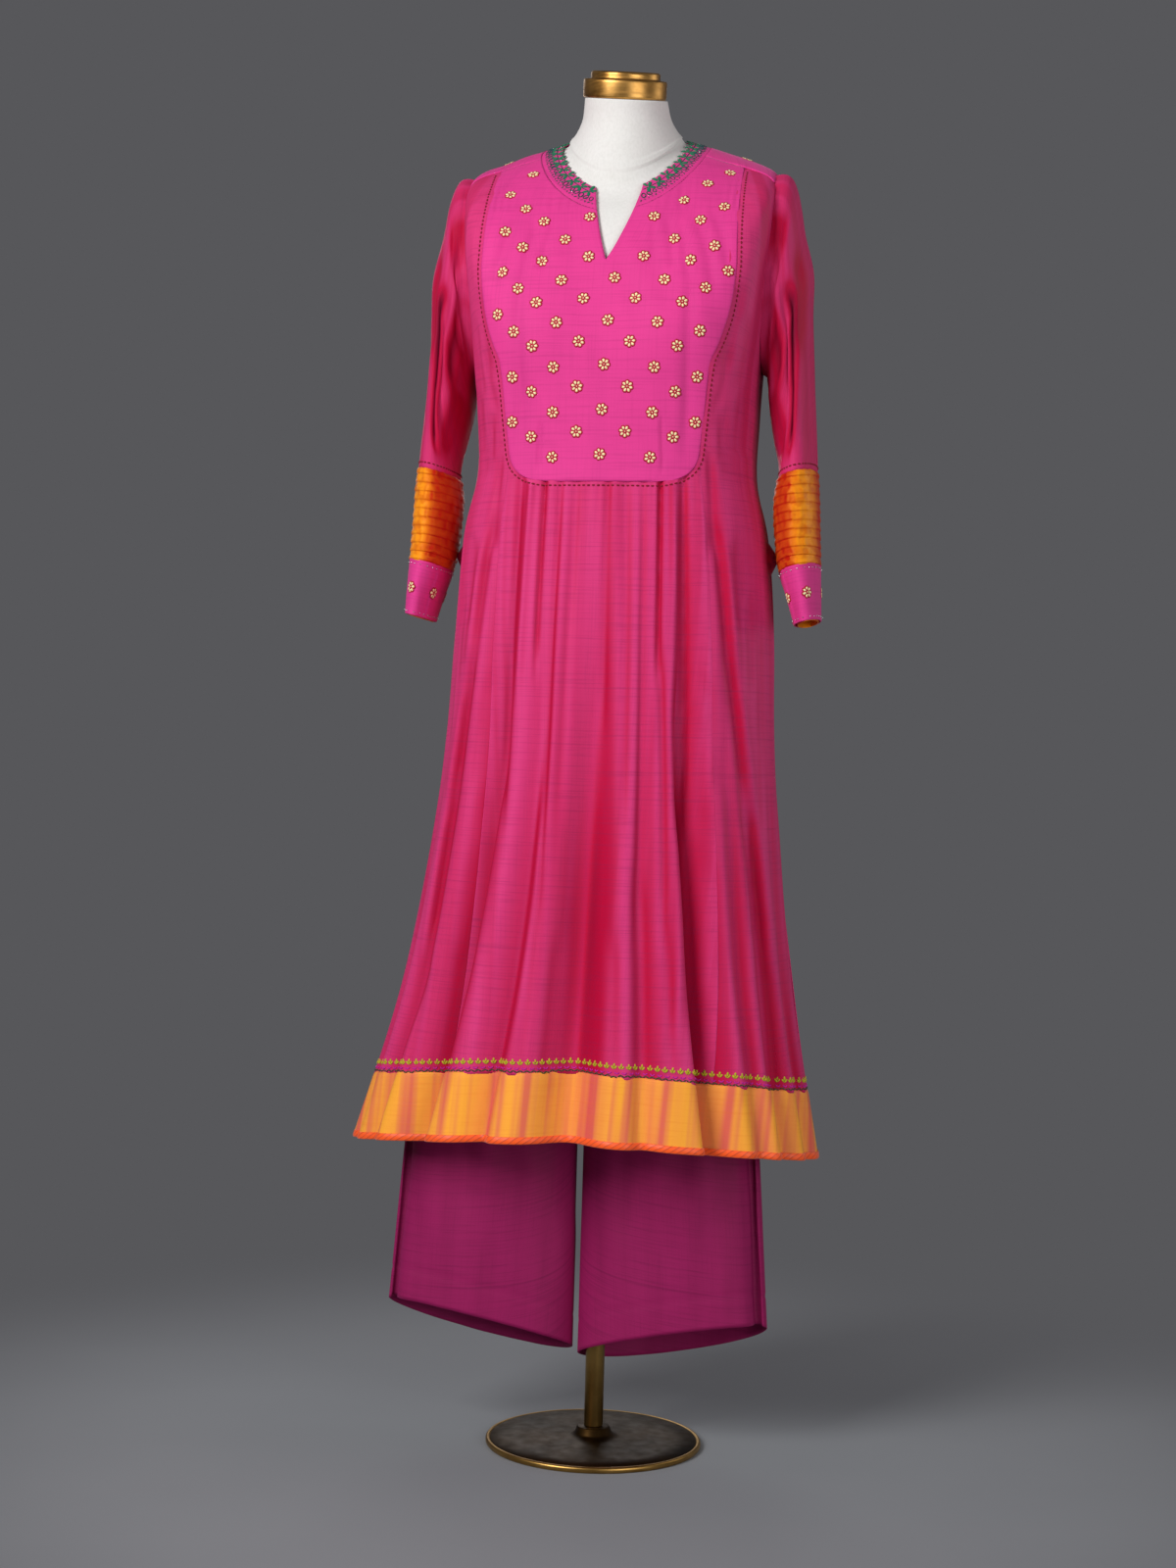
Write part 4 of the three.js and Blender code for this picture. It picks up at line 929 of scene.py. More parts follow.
# Sleeves
def sleeve_base(around, row):
    around, row = np.broadcast_arrays(np.asarray(around, float), np.asarray(row, float))
    in_x, in_z, out_x, out_z, deep, cy = np.moveaxis(rows_at(SLEEVE, row), -1, 0)
    c = np.cos(around)
    return np.stack([(in_x + out_x) / 2 + (out_x - in_x) / 2 * c, cy - deep * np.sin(around),
                     (in_z + out_z) / 2 + (out_z - in_z) / 2 * c], -1)


def sleeve_cloth(around, row):
    around, row = np.broadcast_arrays(np.asarray(around, float), np.asarray(row, float))
    point = sleeve_base(around, row)
    out = -facing(sleeve_base, around, row, 0.01, 0.02)
    push = 0 * row
    for start, end, angles, spread, depth in SLEEVE_DRAPES:
        share = (row - start) / (end - start)
        centre = np.interp(share, np.linspace(0, 1, len(angles)), angles) * DEG
        away = np.arctan2(np.sin(around - centre), np.cos(around - centre)) / (spread * DEG)
        push = push - depth * smooth(3 * share) * smooth(3 * (1 - share)) * np.exp(-away * away)
    return point + out * push[..., None]


# Creases of the sleeve, by degrees round from the outer side through the front, and by row * 30
SLEEVE_CREASES = [
    (84, 80, 120, 240, 6.5, 6.5, 30), (122, 50, 116, 170, 12, 4.5, 0),
    (98, 24, 108, 190, 8, -2.8, 0), (48, 88, 52, 170, 12, 2.6, 0), (72, 8, 62, 64, 12, 2.6, -4),
    (30, 150, 44, 232, 14, 1.8, 3), (140, 150, 132, 238, 12, 2.6, 0), (86, 18, 96, 56, 7, 2.4, 3),
    (250, 40, 262, 160, 9, 3.2, 4), (300, 60, 290, 200, 10, 3.0, -4),
    (330, 30, 320, 120, 8, 2.0, 3), (222, 90, 240, 225, 9, 3.4, 8),
]
# Painted shade on the sleeve: where its silk is darkened in its hollows, in the same terms
SLEEVE_SHADES = [
    (84, 76, 120, 244, 10, 1.7, 30), (122, 44, 116, 180, 15, 1.35, 0), (48, 80, 52, 178, 14, 0.8, 0),
    (72, 4, 62, 70, 14, 0.85, -4), (134, 150, 130, 244, 18, 0.9, 0), (168, 30, 166, 240, 14, 0.6, 0),
    (250, 30, 262, 170, 14, 0.9, 4), (300, 50, 290, 210, 14, 0.8, -4),
]
TUCKS = 11
BAND_TOP = ELBOW + 0.24  # the tucked band starts 9 mm below the row of the elbow
CUFF_END = WRIST + 0.6


def build_sleeves():
    turns = 150
    around = np.linspace(0, ROUND, turns + 1)[None]
    degrees = np.degrees(around)
    parts = []
    rows = np.linspace(0.05, BAND_TOP + 0.05, 120)[:, None]
    points = sleeve_cloth(around, rows)
    crown = np.maximum(0, np.cos(around)) ** 0.5 * np.exp(-np.maximum(0, rows - 0.4) / 0.6)
    push = (creases(degrees + 0 * rows, rows * 30 + 0 * around, SLEEVE_CREASES)
            + 1.0 * crown * np.cos(around * 24 + 0.9 * np.sin(around * 7))
            + waves(23, degrees + 0 * rows, rows * 30 + 0 * around, 0.35, (30, 70), (60, 160)))
    push = push * np.minimum(1, (BAND_TOP + 0.05 - rows) * 3)
    # Painted shade: a crimson tint over the whole sleeve, darker along SLEEVE_SHADES
    shot_and_shade = 0.2 - creases(degrees + 0 * rows, rows * 30 + 0 * around, SLEEVE_SHADES)
    parts.append(("sleeve", points, push, shot_and_shade, SILK_ROSE, "silk_rose", "hung",
                  ["front_side", "back_yoke"]))

    rows = np.linspace(BAND_TOP - 0.05, BAND_END, 130)[:, None]
    points = sleeve_cloth(around, rows)
    fallen = sleeve_base(math.pi / 2, rows)[..., 2]
    step = (fallen[0] - fallen) / (fallen[0] - fallen[-1]) * TUCKS + 0.10 * np.sin(around * 2 + rows)
    lap = step - np.floor(step)
    tuck = 0.9 * smooth(lap / 0.86) * (1 - smooth((lap - 0.86) / 0.14))
    crush = waves(29, degrees + 0 * rows, rows * 40 + 0 * around, 0.3, (16, 40), (20, 50))
    sewn_in = mix(-1.8, RAISED, smooth((rows - BAND_TOP + 0.05) / 0.16))
    push = sewn_in + tuck + crush
    # Painted shade: red all round except on two faces towards the light, and redder in each tuck's
    # underfold
    shot_and_shade = 0.85 * (1 - np.exp(-(((degrees - 62) / 34) ** 4))
                     - np.exp(-(((degrees - 235) / 60) ** 2))) + 0.25 * (lap > 0.88)
    parts.append(("sleeve_band", points, push, shot_and_shade, TUCKED_SILK, "orange_silk", "gathered",
                  ["sleeve"]))

    rows = np.linspace(BAND_END - 0.03, CUFF_END, 50)[:, None]
    points = sleeve_cloth(around, rows)
    # The cuff laps over itself in front of the inner side, and gapes a little at the wrist
    away = (degrees - 137) / 6
    lap = smooth(away + 0.5) * np.exp(-np.maximum(0, away) / 9) * 1.6
    rim = 0.8 * smooth((rows - CUFF_END + 0.3) / 0.3) * -1
    push = (RAISED + 0.2 + lap * smooth((rows - BAND_END) / 0.4) + rim
            + waves(31, degrees + 0 * rows, rows * 30 + 0 * around, 0.25, (30, 80), (40, 90)))
    parts.append(("cuff", points, push, 0 * push, YOKE_PINK, "yoke_pink", "stretched",
                  ["sleeve_band"]))

    rows = np.linspace(CUFF + 0.3, FACING_END, 20)[:, None]
    points = sleeve_cloth(around, rows)
    parts.append(("cuff_facing", points, -2.2 + 0 * points[..., 0], 0.2 + 0 * points[..., 0],
                  TUCKED_SILK, "orange_silk", "stretched", ["cuff"]))
    for name, points, push, shot_and_shade, material, slot, held, on in parts:
        for side, end in SIDES:
            grid = cloth_grid(mirrored(points, side), push, flip=-side, closed=True,
                              shot_and_shade=shot_and_shade + 0 * points[..., 0])
            rests = [f"{o}_{end}" if o != "back_yoke" else o for o in on]
            cloth(f"{name}_{end}", [grid], material, slot, held, rests, welded=True)


# Trousers
HEM_STITCH = 36  # height of the hem's stitching above the hem
TROUSER_CREASES = [
    (60, 560, 66, 330, 12, 2.4, 3), (110, 520, 104, 260, 14, 2.6, -3),
    (30, 420, 34, 230, 10, 2.0, 2), (150, 500, 146, 240, 12, 2.2, 0),
    (84, 360, 90, 200, 9, 1.6, 2),
]


def trouser_cloth(side, is_front, share, row):
    z, reach, front, back, square, mid, leg, apart = np.moveaxis(rows_at(TROUSERS, row), -1, 0)
    inner = apart + 0.15
    closed = np.minimum(1, leg)
    radius = mix(reach, (reach - inner) / 2, closed)
    centre = mix(0, (reach + inner) / 2, closed)
    end = np.arccos(np.clip((inner - centre) / radius, -1, 1))
    around = end * share
    c, s = np.cos(around), np.sin(around)
    fall = smooth((row - TROUSER_THIGH) / (TROUSER_END - TROUSER_THIGH))
    middle = (HEM_FRONT if is_front else HEM_BACK) - HEM_INNER / 2
    drop = HEM_INNER * (1 - c) / 2 + middle * s + side * HEM_SWAY / 2
    height = z - fall * drop
    grown = smooth((GROOVE_START - z) / 250)
    dent = 0
    if is_front:
        off = (np.degrees(around) - GROOVE_ANGLE) / GROOVE_SPREAD
        dent = GROOVE_DEPTH * grown * np.exp(-(off**2))
    depth = (front if is_front else back) - dent / np.maximum(0.35, s)
    x = centre + radius * c * (1 + np.where(c > 0, square * s * s, 0))
    y = depth * s * (1 + square * c * c)
    return np.stack([mid + side * x, -y if is_front else y, height], -1)


def build_trousers():
    share = np.concatenate([np.linspace(0, 0.26, 34), np.linspace(0.28, 1, 36)])[None]
    row = np.concatenate([np.linspace(0, 8, 70), np.linspace(8.02, 10, 110)])[:, None]
    share, row = np.broadcast_arrays(share, row)
    for side, end in SIDES:
        for is_front, face in ((True, "front"), (False, "back")):
            points = trouser_cloth(side, is_front, share, row)
            hem = trouser_cloth(side, is_front, share, TROUSER_END + 0 * row)
            above = points[..., 2] - hem[..., 2]
            x, z = np.abs(points[..., 0]), points[..., 2]
            stitch = -0.9 * np.exp(-(((above - HEM_STITCH) / 1.6) ** 2))
            pressed = (np.degrees(share * math.pi) - GROOVE_ANGLE) / 3.2 + 20 * (not is_front)
            groove = -4.5 * np.exp(-(pressed**2)) * smooth((GROOVE_START - z) / 250)
            push = (creases(x, z, TROUSER_CREASES) * smooth((700 - z) / 150) + stitch + groove
                    + waves(37, x, z, 0.8, (40, 110), (160, 420)) * smooth(share * 8)
                    * smooth((1 - share) * 8))
            flip = side * (-1 if is_front else 1)
            grid = cloth_grid(points, push, flip=flip)
            name = f"trousers_{face}_{end}"
            cloth(name, [grid], TROUSER_PLUM, "trouser_plum", "hung", ["waistband"])

    low, high = 1085.3, 1112
    share = np.linspace(0, 1, 8)[:, None]
    angle = np.linspace(0, ROUND, 181)[None]
    around = lambda a, r: form_point(a, r, 2.8)
    heights = mix(high, low, share) + 0 * angle
    rows = row_of_height(around, angle + 0 * heights, heights, UNDER_BUST, 14)
    ribs = 0.5 * np.sin(angle * 64) * np.sin(share * math.pi)
    grid = cloth_grid(around(angle + 0 * rows, rows), ribs, closed=True)
    cloth("waistband", [grid], TROUSER_PLUM, "trouser_plum", "gathered", ["form_torso"],
          welded=True)


# Dress form
def form_point(angle, row, out=0):
    inset = np.where(np.asarray(row) < 3, 0, np.maximum(0, rows_at(FORM_INSET, row)[..., 0]))
    point = figure(angle, row)
    return point + facing(figure, angle, row, 0.01, 0.02) * (out - inset)[..., None]


def closed_loft(name, rings, material):
    """Rings of points from the top down, closed by a flat fan at each end."""
    rings = np.asarray(rings)
    count, sides = rings.shape[:2]
    points = np.concatenate([rings.reshape(-1, 3), [rings[0].mean(0)], [rings[-1].mean(0)]])
    i = np.arange(count * sides).reshape(count, sides)
    right = np.roll(i, -1, axis=1)
    faces = np.stack([i[:-1], i[1:], right[1:], right[:-1]], -1).reshape(-1, 4).tolist()
    top, end = count * sides, count * sides + 1
    faces += [[top, a, b] for a, b in zip(i[0].tolist(), right[0].tolist())]
    faces += [[end, b, a] for a, b in zip(i[-1].tolist(), right[-1].tolist())]
    mesh = bpy.data.meshes.new(name)
    mesh.from_pydata((points * MM).tolist(), [], faces)
    if material:
        mesh.materials.append(material)
    mesh.shade_smooth()
    piece = bpy.data.objects.new(name, mesh)
    bpy.context.scene.collection.objects.link(piece)
    return piece


NECK_SEAM = 2.58  # row of the form's neck seam


def build_form():
    rows = np.concatenate([np.linspace(0, 5, 60), np.linspace(5.1, FORM_END, 80)])
    angle = np.linspace(0, ROUND, 97)[:-1]
    groove = -0.9 * np.exp(-(((rows - NECK_SEAM) / 0.035) ** 2))
    groove += 0.35 * np.exp(-(((rows - NECK_SEAM - 0.12) / 0.07) ** 2))
    rings = [form_point(angle, row + 0 * angle, push + 0 * angle)
             for row, push in zip(rows, groove)]
    rim = rings[-1]
    for inward, drop in ((3, 0.15), (8, 0.45), (16, 0.7), (26, 0.85), (38, 0.95), (50, 1)):
        reach = np.hypot(rim[:, 0], rim[:, 1])
        share = (reach - inward) / reach
        rings.append(np.stack([rim[:, 0] * share, rim[:, 1] * share,
                               mix(rim[:, 2], FORM_UNDERSIDE, drop)], -1))
    hang(closed_loft("form_torso", rings, FORM_CLOTH), "form_cloth", "form_torso")


def turned(name, profile, sides, material, matrix=None, place=(0, 0, 0)):
    """A turned solid from its radii and heights, from the top down."""
    around = np.linspace(0, ROUND, sides + 1)[:-1]
    rings = np.array([[(r * math.cos(a), r * math.sin(a), z) for a in around]
                      for r, z in profile])
    if matrix is not None:
        rings = rings @ np.array(matrix).T
    return closed_loft(name, rings + np.array(place), material)


def build_stand():
    top = RINGS[0]
    lean = math.atan2(top[7] - top[6], top[1] + top[2])
    roll = -math.atan2(top[8], top[0])
    tilt = Matrix.Rotation(lean, 3, "X") @ Matrix.Rotation(roll, 3, "Y")
    profile = [(1, 30), (37.2, 30), (39, 29.4), (39.8, 28.2), (40, 26), (40, 22.6), (40.3, 21.9),
               (41, 21.4), (46, 21.1), (47.3, 20.6), (47.9, 19.4), (48, 17), (48, 2.6),
               (47.8, 1.2), (47, 0.3), (46, 0), (1, 0)]
    lift = np.array(tilt @ Vector((0, 0, 0.6)))
    cap = turned("neck_cap", profile, 120, CAP_BRASS, tilt, lift + [0, top[4], top[5]])
    hang(cap, "cap_metal", "neck_cap")
    pole = [(1, FORM_UNDERSIDE - 0.3), (POLE_RADIUS - 0.6, FORM_UNDERSIDE - 0.3),
            (POLE_RADIUS, FORM_UNDERSIDE - 1), (POLE_RADIUS, 22), (POLE_RADIUS - 0.5, 21),
            (1, 21)]
    hang(turned("form_pole", pole, 48, POLE_METAL), "cap_metal", "form_pole")
    h, r = BASE_HEIGHT, BASE_RADIUS
    base = [(1, h + 11.7), (COLLAR - 4, h + 11.7), (COLLAR - 3, h + 11), (COLLAR - 0.6, h + 4.5),
            (COLLAR + 1, h + 2.8), (COLLAR + 4, h + 1.2), (COLLAR + 8, h), (60, h - 0.5),
            (95, h - 1.3), (r - 5.6, h - 2.2), (r - 5, h - 3.2), (r - 5, 3), (r - 6, 0.6), (1, 0.6)]
    hang(turned("form_base", base, 120, BASE_BRONZE), "base_metal", "form_base")
    around = np.linspace(0, ROUND, 121)
    ring = [(r - 5, h - 3), (r - 3.6, h - 1.9), (r - 1.4, h - 2.2), (r - 0.2, h - 3.6), (r, h - 5),
            (r, 2), (r - 0.8, 0.6), (r - 2, 0), (r - 5, 0), (r - 6.4, 1.4), (r - 6, h - 4)]
    ring.append(ring[0])
    points = np.array([[(q * math.cos(a), q * math.sin(a), z) for a in around] for q, z in ring])
    quads = grid_quads(len(ring), len(around))
    rim = mesh_object("base_rim", points.reshape(-1, 3), quads, RIM_BRASS)
    weld(rim.data)
    hang(rim, "base_metal")


# Embroidery: small raised shapes repeated on points of the cloth
def repeat_tree():
    """Puts a shape on every point, turned by the point's facing and run, and gives it a finish."""
    tree = bpy.data.node_groups.new("repeat on cloth", "GeometryNodeTree")
    for name, kind, way in (("Points", "NodeSocketGeometry", "INPUT"),
                            ("Shape", "NodeSocketObject", "INPUT"),
                            ("Size", "NodeSocketFloat", "INPUT"),
                            ("Unevenness", "NodeSocketFloat", "INPUT"),
                            ("Finish", "NodeSocketMaterial", "INPUT"),
                            ("Sewn", "NodeSocketGeometry", "OUTPUT")):
        tree.interface.new_socket(name, in_out=way, socket_type=kind)
    given = add_node(tree, "NodeGroupInput").outputs
    attribute = "GeometryNodeInputNamedAttribute"
    facing_way = add_node(tree, attribute, {"Name": "facing"}, data_type="FLOAT_VECTOR")
    run_way = add_node(tree, attribute, {"Name": "run"}, data_type="FLOAT_VECTOR")
    turn = add_node(tree, "FunctionNodeAxesToRotation", {
        "Primary Axis": facing_way.outputs[0], "Secondary Axis": run_way.outputs[0]},
        primary_axis="Z", secondary_axis="X")
    uneven = add_node(tree, "ShaderNodeMath", {0: given["Unevenness"], 1: -1.0},
                      operation="MULTIPLY")
    chance = add_node(tree, "FunctionNodeRandomValue", {
        2: uneven.outputs[0], 3: given["Unevenness"], "Seed": 7}, data_type="FLOAT")
    scale = add_node(tree, "ShaderNodeMath", {
        0: given["Size"], 1: chance.outputs[1], 2: given["Size"]}, operation="MULTIPLY_ADD")
    shape = add_node(tree, "GeometryNodeObjectInfo", {"Object": given["Shape"]})
    placed = add_node(tree, "GeometryNodeInstanceOnPoints", {
        "Points": given["Points"], "Instance": shape.outputs["Geometry"],
        "Rotation": turn.outputs[0], "Scale": scale.outputs[0]})
    whole = add_node(tree, "GeometryNodeRealizeInstances", {0: placed.outputs[0]})
    done = add_node(tree, "GeometryNodeSetMaterial", {
        "Geometry": whole.outputs[0], "Material": given["Finish"]})
    add_node(tree, "NodeGroupOutput", {0: done.outputs[0]})
    return tree


REPEAT = repeat_tree()


def sewn_shape(rings):
    """A small closed shape from rings of points in millimetres, from the top down."""
    return closed_loft("shape", rings, None)


def pad(length, width, height, sides=8):
    """A satin stitched pad: a low oval cushion, narrower at its foot."""
    around = np.linspace(0, ROUND, sides + 1)[:-1]
    outline = np.stack([np.cos(around) * length / 2,
                        np.sin(around) * width / 2 * (1 + 0.25 * np.cos(around)), 0 * around], -1)
    levels = [(0.35, 1), (0.8, 0.72), (1, 0.1), (0.9, -0.3)]
    return sewn_shape([outline * (k, k, 0) + (0, 0, height * up) for k, up in levels])


def dash(length, width, flat=1.0):
    """One stitch of thread that dips into the cloth at both ends."""
    around = np.linspace(0, ROUND, 7)[:-1]
    rings = []
    for along in (1, 0.6, 0, -0.6, -1):
        thick = (1 - 0.62 * along**2) * width / 2
        lift = width * 0.3 * (1 - along**2) - 0.1
        rings.append(np.stack([0 * around + along * length / 2, np.cos(around) * thick,
                               lift + np.sin(around) * thick * flat], -1))
    return sewn_shape(rings)


def loop(length, width, thread_width, start=0, end=360, sides=10):
    """An open loop of couched thread, with closed ends."""
    around = np.linspace(0, ROUND, 6)[:-1]
    rings = []
    for angle in np.linspace(start, end, sides + 1) * DEG:
        centre = np.array([math.cos(angle) * length / 2, math.sin(angle) * width / 2, 0.2])
        away = np.array([math.cos(angle), math.sin(angle), 0])
        rings.append([centre + thread_width / 2 * (away * math.cos(a) + np.array([0, 0, 1])
                                                   * math.sin(a)) for a in around])
    return sewn_shape(rings)


def bead(radius):
    around = np.linspace(0, ROUND, 7)[:-1]
    return sewn_shape([np.stack([np.cos(around) * radius * math.cos(lift),
                                 np.sin(around) * radius * math.cos(lift),
                                 0 * around + radius * (0.8 + math.sin(lift))], -1)
                       for lift in (1.1, 0.4, -0.4, -1.1)])


def sequin(radius):
    """A cupped disc of plastic film with a hole's dimple."""
    around = np.linspace(0, ROUND, 9)[:-1]
    return sewn_shape([np.stack([np.cos(around) * radius * k, np.sin(around) * radius * k,
                                 0 * around + up], -1)
                       for k, up in ((0.25, 0.35), (0.7, 0.45), (1, 0.75), (0.98, 0.6), (0.6, 0.1))])


def sew(name, shape, spots, material, sheet, uneven=0.06):
    """Repeats a shape on spots (place, facing, run) and hangs the result on its cloth."""
    places, facings, runs = (np.concatenate([spot[i] for spot in spots]) for i in range(3))
    mesh = bpy.data.meshes.new(name)
    mesh.from_pydata((places * MM).tolist(), [], [])
    for label, values in (("facing", facings), ("run", runs)):
        layer = mesh.attributes.new(label, "FLOAT_VECTOR", "POINT")
        layer.data.foreach_set("vector", values.astype(np.float32).ravel())
    guide = bpy.data.objects.new(name, mesh)
    bpy.context.scene.collection.objects.link(guide)
    maker = guide.modifiers.new("repeat", "NODES")
    maker.node_group = REPEAT
    values = {"Shape": shape, "Size": 1.0, "Unevenness": uneven, "Finish": material}
    for socket in REPEAT.interface.items_tree:
        if socket.name in values:
            maker[socket.identifier] = values[socket.name]
    guide.update_tag()
    ready = guide.evaluated_get(bpy.context.evaluated_depsgraph_get())
    sewn = bpy.data.meshes.new_from_object(ready)
    sewn.name = name
    for label in ("facing", "run"):
        if label in sewn.attributes:
            sewn.attributes.remove(sewn.attributes[label])
    guide.modifiers.remove(maker)
    guide.data = sewn
    sewn.shade_smooth()
    bpy.data.meshes.remove(mesh)
    hang(guide, made[sheet]["slot"])
    made[sheet]["sewn"].append(guide)


def drop_shapes(*shapes):
    for shape in shapes:
        bpy.data.objects.remove(shape)


def cloth_tree(*names):
    """The outer faces of some cloth pieces, for finding places on them."""
    points, faces, count = [], [], 0
    for name in names:
        mesh = made[name]["piece"].data
        points += [tuple(v.co / MM) for v in mesh.vertices]
        faces += [tuple(i + count for i in p.vertices) for p in mesh.polygons]
        count = len(points)
    return BVHTree.FromPolygons(points, faces)


def nearest_on(tree, points):
    found = [tree.find_nearest(Vector(point)) for point in points]
    return (np.array([tuple(hit[0]) for hit in found]), np.array([tuple(hit[1]) for hit in found]))


def spaced(path, pitch):
    """Points along a path at an even pitch."""
    path = np.asarray(path, float)
    steps = np.linalg.norm(np.diff(path, axis=0), axis=1)
    far = np.concatenate([[0], np.cumsum(steps)])
    count = max(2, round(far[-1] / pitch))
    at = (np.arange(count) + 0.5) * far[-1] / count
    return np.stack([np.interp(at, far, path[:, i]) for i in range(3)], -1)


def runs_of(points):
    run = np.gradient(points, axis=0)
    return run / np.linalg.norm(run, axis=1, keepdims=True)


def spin(run, facing_way, degrees):
    """Directions turned in the cloth's plane."""
    aside = np.cross(facing_way, run)
    angle = np.asarray(degrees, float)[..., None] * DEG
    return run * np.cos(angle) + aside * np.sin(angle)


def spun(spots, degrees, reach=0):
    """The same spots, turned in the cloth's plane and moved out along their new way."""
    places, facings, runs = spots
    ways = spin(runs, facings, degrees)
    return places + ways * reach, facings, ways


def by_turns(spots, even, odd):
    """The same spots, leaning one way and the other by turns."""
    return spun(spots, np.where(np.arange(len(spots[0])) % 2, odd, even))


def line_of_stitches(tree, path, pitch):
    """Spots for stitches that follow a path on the cloth."""
    places, facings = nearest_on(tree, spaced(path, pitch))
    return places, facings, runs_of(places)


# Flowers: seven petals of 4.4 mm round a centre, 13 mm across, in a half drop repeat
PETALS, FLOWER_RING = 7, 4.2
COLUMN_PLACES = {0: 0, 1: 27, 2: 56, 3: 80, 4: 103, 5: 124,
                 -1: -27, -2: -54, -3: -79, -4: -102, -5: -123}
COLUMN_SAG = [0, 1, 3, 6, 12, 18]
FLOWER_ROWS = 49  # from one flower of a column to the next
IN_FRONT = -400.0  # where a look at the front starts


def column_lean(z, right):
    """How the hang of the cloth carries the columns aside as they rise."""
    if right:
        return np.interp(z, [1130, 1232, 1281, 1329, 1377, 1420], [-2, 2, 5, 10, 18, 24])
    return np.interp(z, [1130, 1232, 1354, 1401], [-2, -1, 6, 3])


def front_flower_places():
    places = []
    for column, x in COLUMN_PLACES.items():
        for row in range(8):
            z = (1132 if column % 2 == 0 else 1109) + FLOWER_ROWS * row
            z -= COLUMN_SAG[abs(column)]
            places.append((x + float(column_lean(z, column >= 0)), IN_FRONT, z))
    return places


def inside_cloth(tree, place, way, margin):
    """Whether the cloth goes on for a margin round a place, as seen along a way."""
    across = Vector(way).cross(Vector((1, 0, 0))).normalized()
    for x, up in ((margin, 0), (-margin, 0), (0, margin), (0, -margin)):
        start = Vector(place) + Vector((x, 0, 0)) + across * up
        if tree.ray_cast(start, Vector(way))[0] is None:
            return False
    return True


def flowers_on(tree, places, way, margin=7.5):
    spots = []
    for place in places:
        hit = tree.ray_cast(Vector(place), Vector(way))
        if hit[0] is not None and inside_cloth(tree, place, way, margin):
            spots.append((np.array(hit[0]), np.array(hit[1])))
    return spots


def flower_spots(tree, centres):
    """Petal spots and centre spots for flowers that lie on the cloth."""
    places, facings, runs = [], [], []
    for number, (centre, out) in enumerate(centres):
        first = np.cross([0.0, 0.0, 1.0], out)
        first /= np.linalg.norm(first)
        for petal in range(PETALS):
            way = spin(first, out, (petal * 360 / PETALS + number * 23) % 360)
            place, facing_way = nearest_on(tree, [centre + way * FLOWER_RING])
            places.append(place[0])
            facings.append(facing_way[0])
            runs.append(way)
    middle = (np.array([c for c, _ in centres]), np.array([o for _, o in centres]),
              np.array([np.cross([0.0, 0.0, 1.0], o) for _, o in centres]))
    return (np.array(places), np.array(facings), np.array(runs)), middle


def build_flowers():
    petal, centre = pad(4.4, 3.0, 1.0), pad(1.8, 1.8, 1.2)
    edge, edge_centre = pad(7.2, 5.8, 0.5), pad(4.8, 4.8, 0.75)
    groups = []
    front = cloth_tree("front_yoke")
    groups.append(("front_yoke", front, flowers_on(front, front_flower_places(), (0, 1, 0))))
    back = cloth_tree("back_yoke")
    slant = Vector((0, -0.78, -0.62))
    up = Vector((0, -0.62, 0.78))
    middle = Vector((0, 60, 1440)) - slant * 500
    places = [tuple(middle + Vector((28 * column, 0, 0)) + up * (24.5 * (2 * row + column % 2)))
              for column in range(-6, 7) for row in range(-3, 4)]
    groups.append(("back_yoke", back, flowers_on(back, places, tuple(slant))))
    for side, end in SIDES:
        tree = cloth_tree(f"cuff_{end}")
        turns = (71.5 + 72 * np.arange(5)) * DEG
        found = nearest_on(tree, mirrored(sleeve_cloth(turns, 12.05 + 0 * turns), side))
        groups.append((f"cuff_{end}", tree, list(zip(*found))))
    for name, tree, centres in groups:
        petals, middles = flower_spots(tree, centres)
        for layer, shape, spots, material in (
                ("flower_edges", edge, petals, RED_THREAD),
                ("flower_edge_centres", edge_centre, middles, RED_THREAD),
                ("petals", petal, petals, CREAM_FLOSS),
                ("flower_centres", centre, middles, CREAM_FLOSS)):
            sew(f"{name}_{layer}", shape, [spots], material, name)
    drop_shapes(petal, centre, edge, edge_centre)


# Running stitch: 3.9 mm of thread and a 1.6 mm gap, 4.2 mm outside the yoke's edge
STITCH_PITCH, STITCH_ASIDE = 5.5, 4.2


def yoke_stitch_path(tree, side):
    edge = YOKE_EDGE[YOKE_EDGE[:, 1] < 1475]
    run = np.gradient(edge, axis=0)
    run /= np.linalg.norm(run, axis=1, keepdims=True)
    outside = edge + np.stack([run[:, 1], -run[:, 0]], -1) * STITCH_ASIDE
    outside = np.concatenate([[[0, YOKE_BOTTOM - STITCH_ASIDE]], outside])
    found = [tree.ray_cast(Vector((side * x, IN_FRONT, z)), Vector((0, 1, 0)))[0]
             for x, z in outside]
    return [np.array(place) for place in found if place is not None]


def build_running_stitches():
    stitch = dash(3.9, 2.0, 0.6)
    tree = cloth_tree("front_side_left", "front_side_right", "front_skirt")
    spots = [line_of_stitches(tree, yoke_stitch_path(tree, side), STITCH_PITCH)
             for side in (1, -1)]
    sew("yoke_running_stitch", stitch, spots, STITCH_THREAD, "front_skirt")
    turns = np.linspace(0, ROUND, 73)
    for side, end in SIDES:
        tree = cloth_tree(f"sleeve_{end}")
        path = mirrored(sleeve_cloth(turns, BAND_TOP - 0.12 + 0 * turns), side)
        sew(f"sleeve_running_stitch_{end}", stitch, [line_of_stitches(tree, path, STITCH_PITCH)],
            STITCH_THREAD, f"sleeve_{end}")
    drop_shapes(stitch)


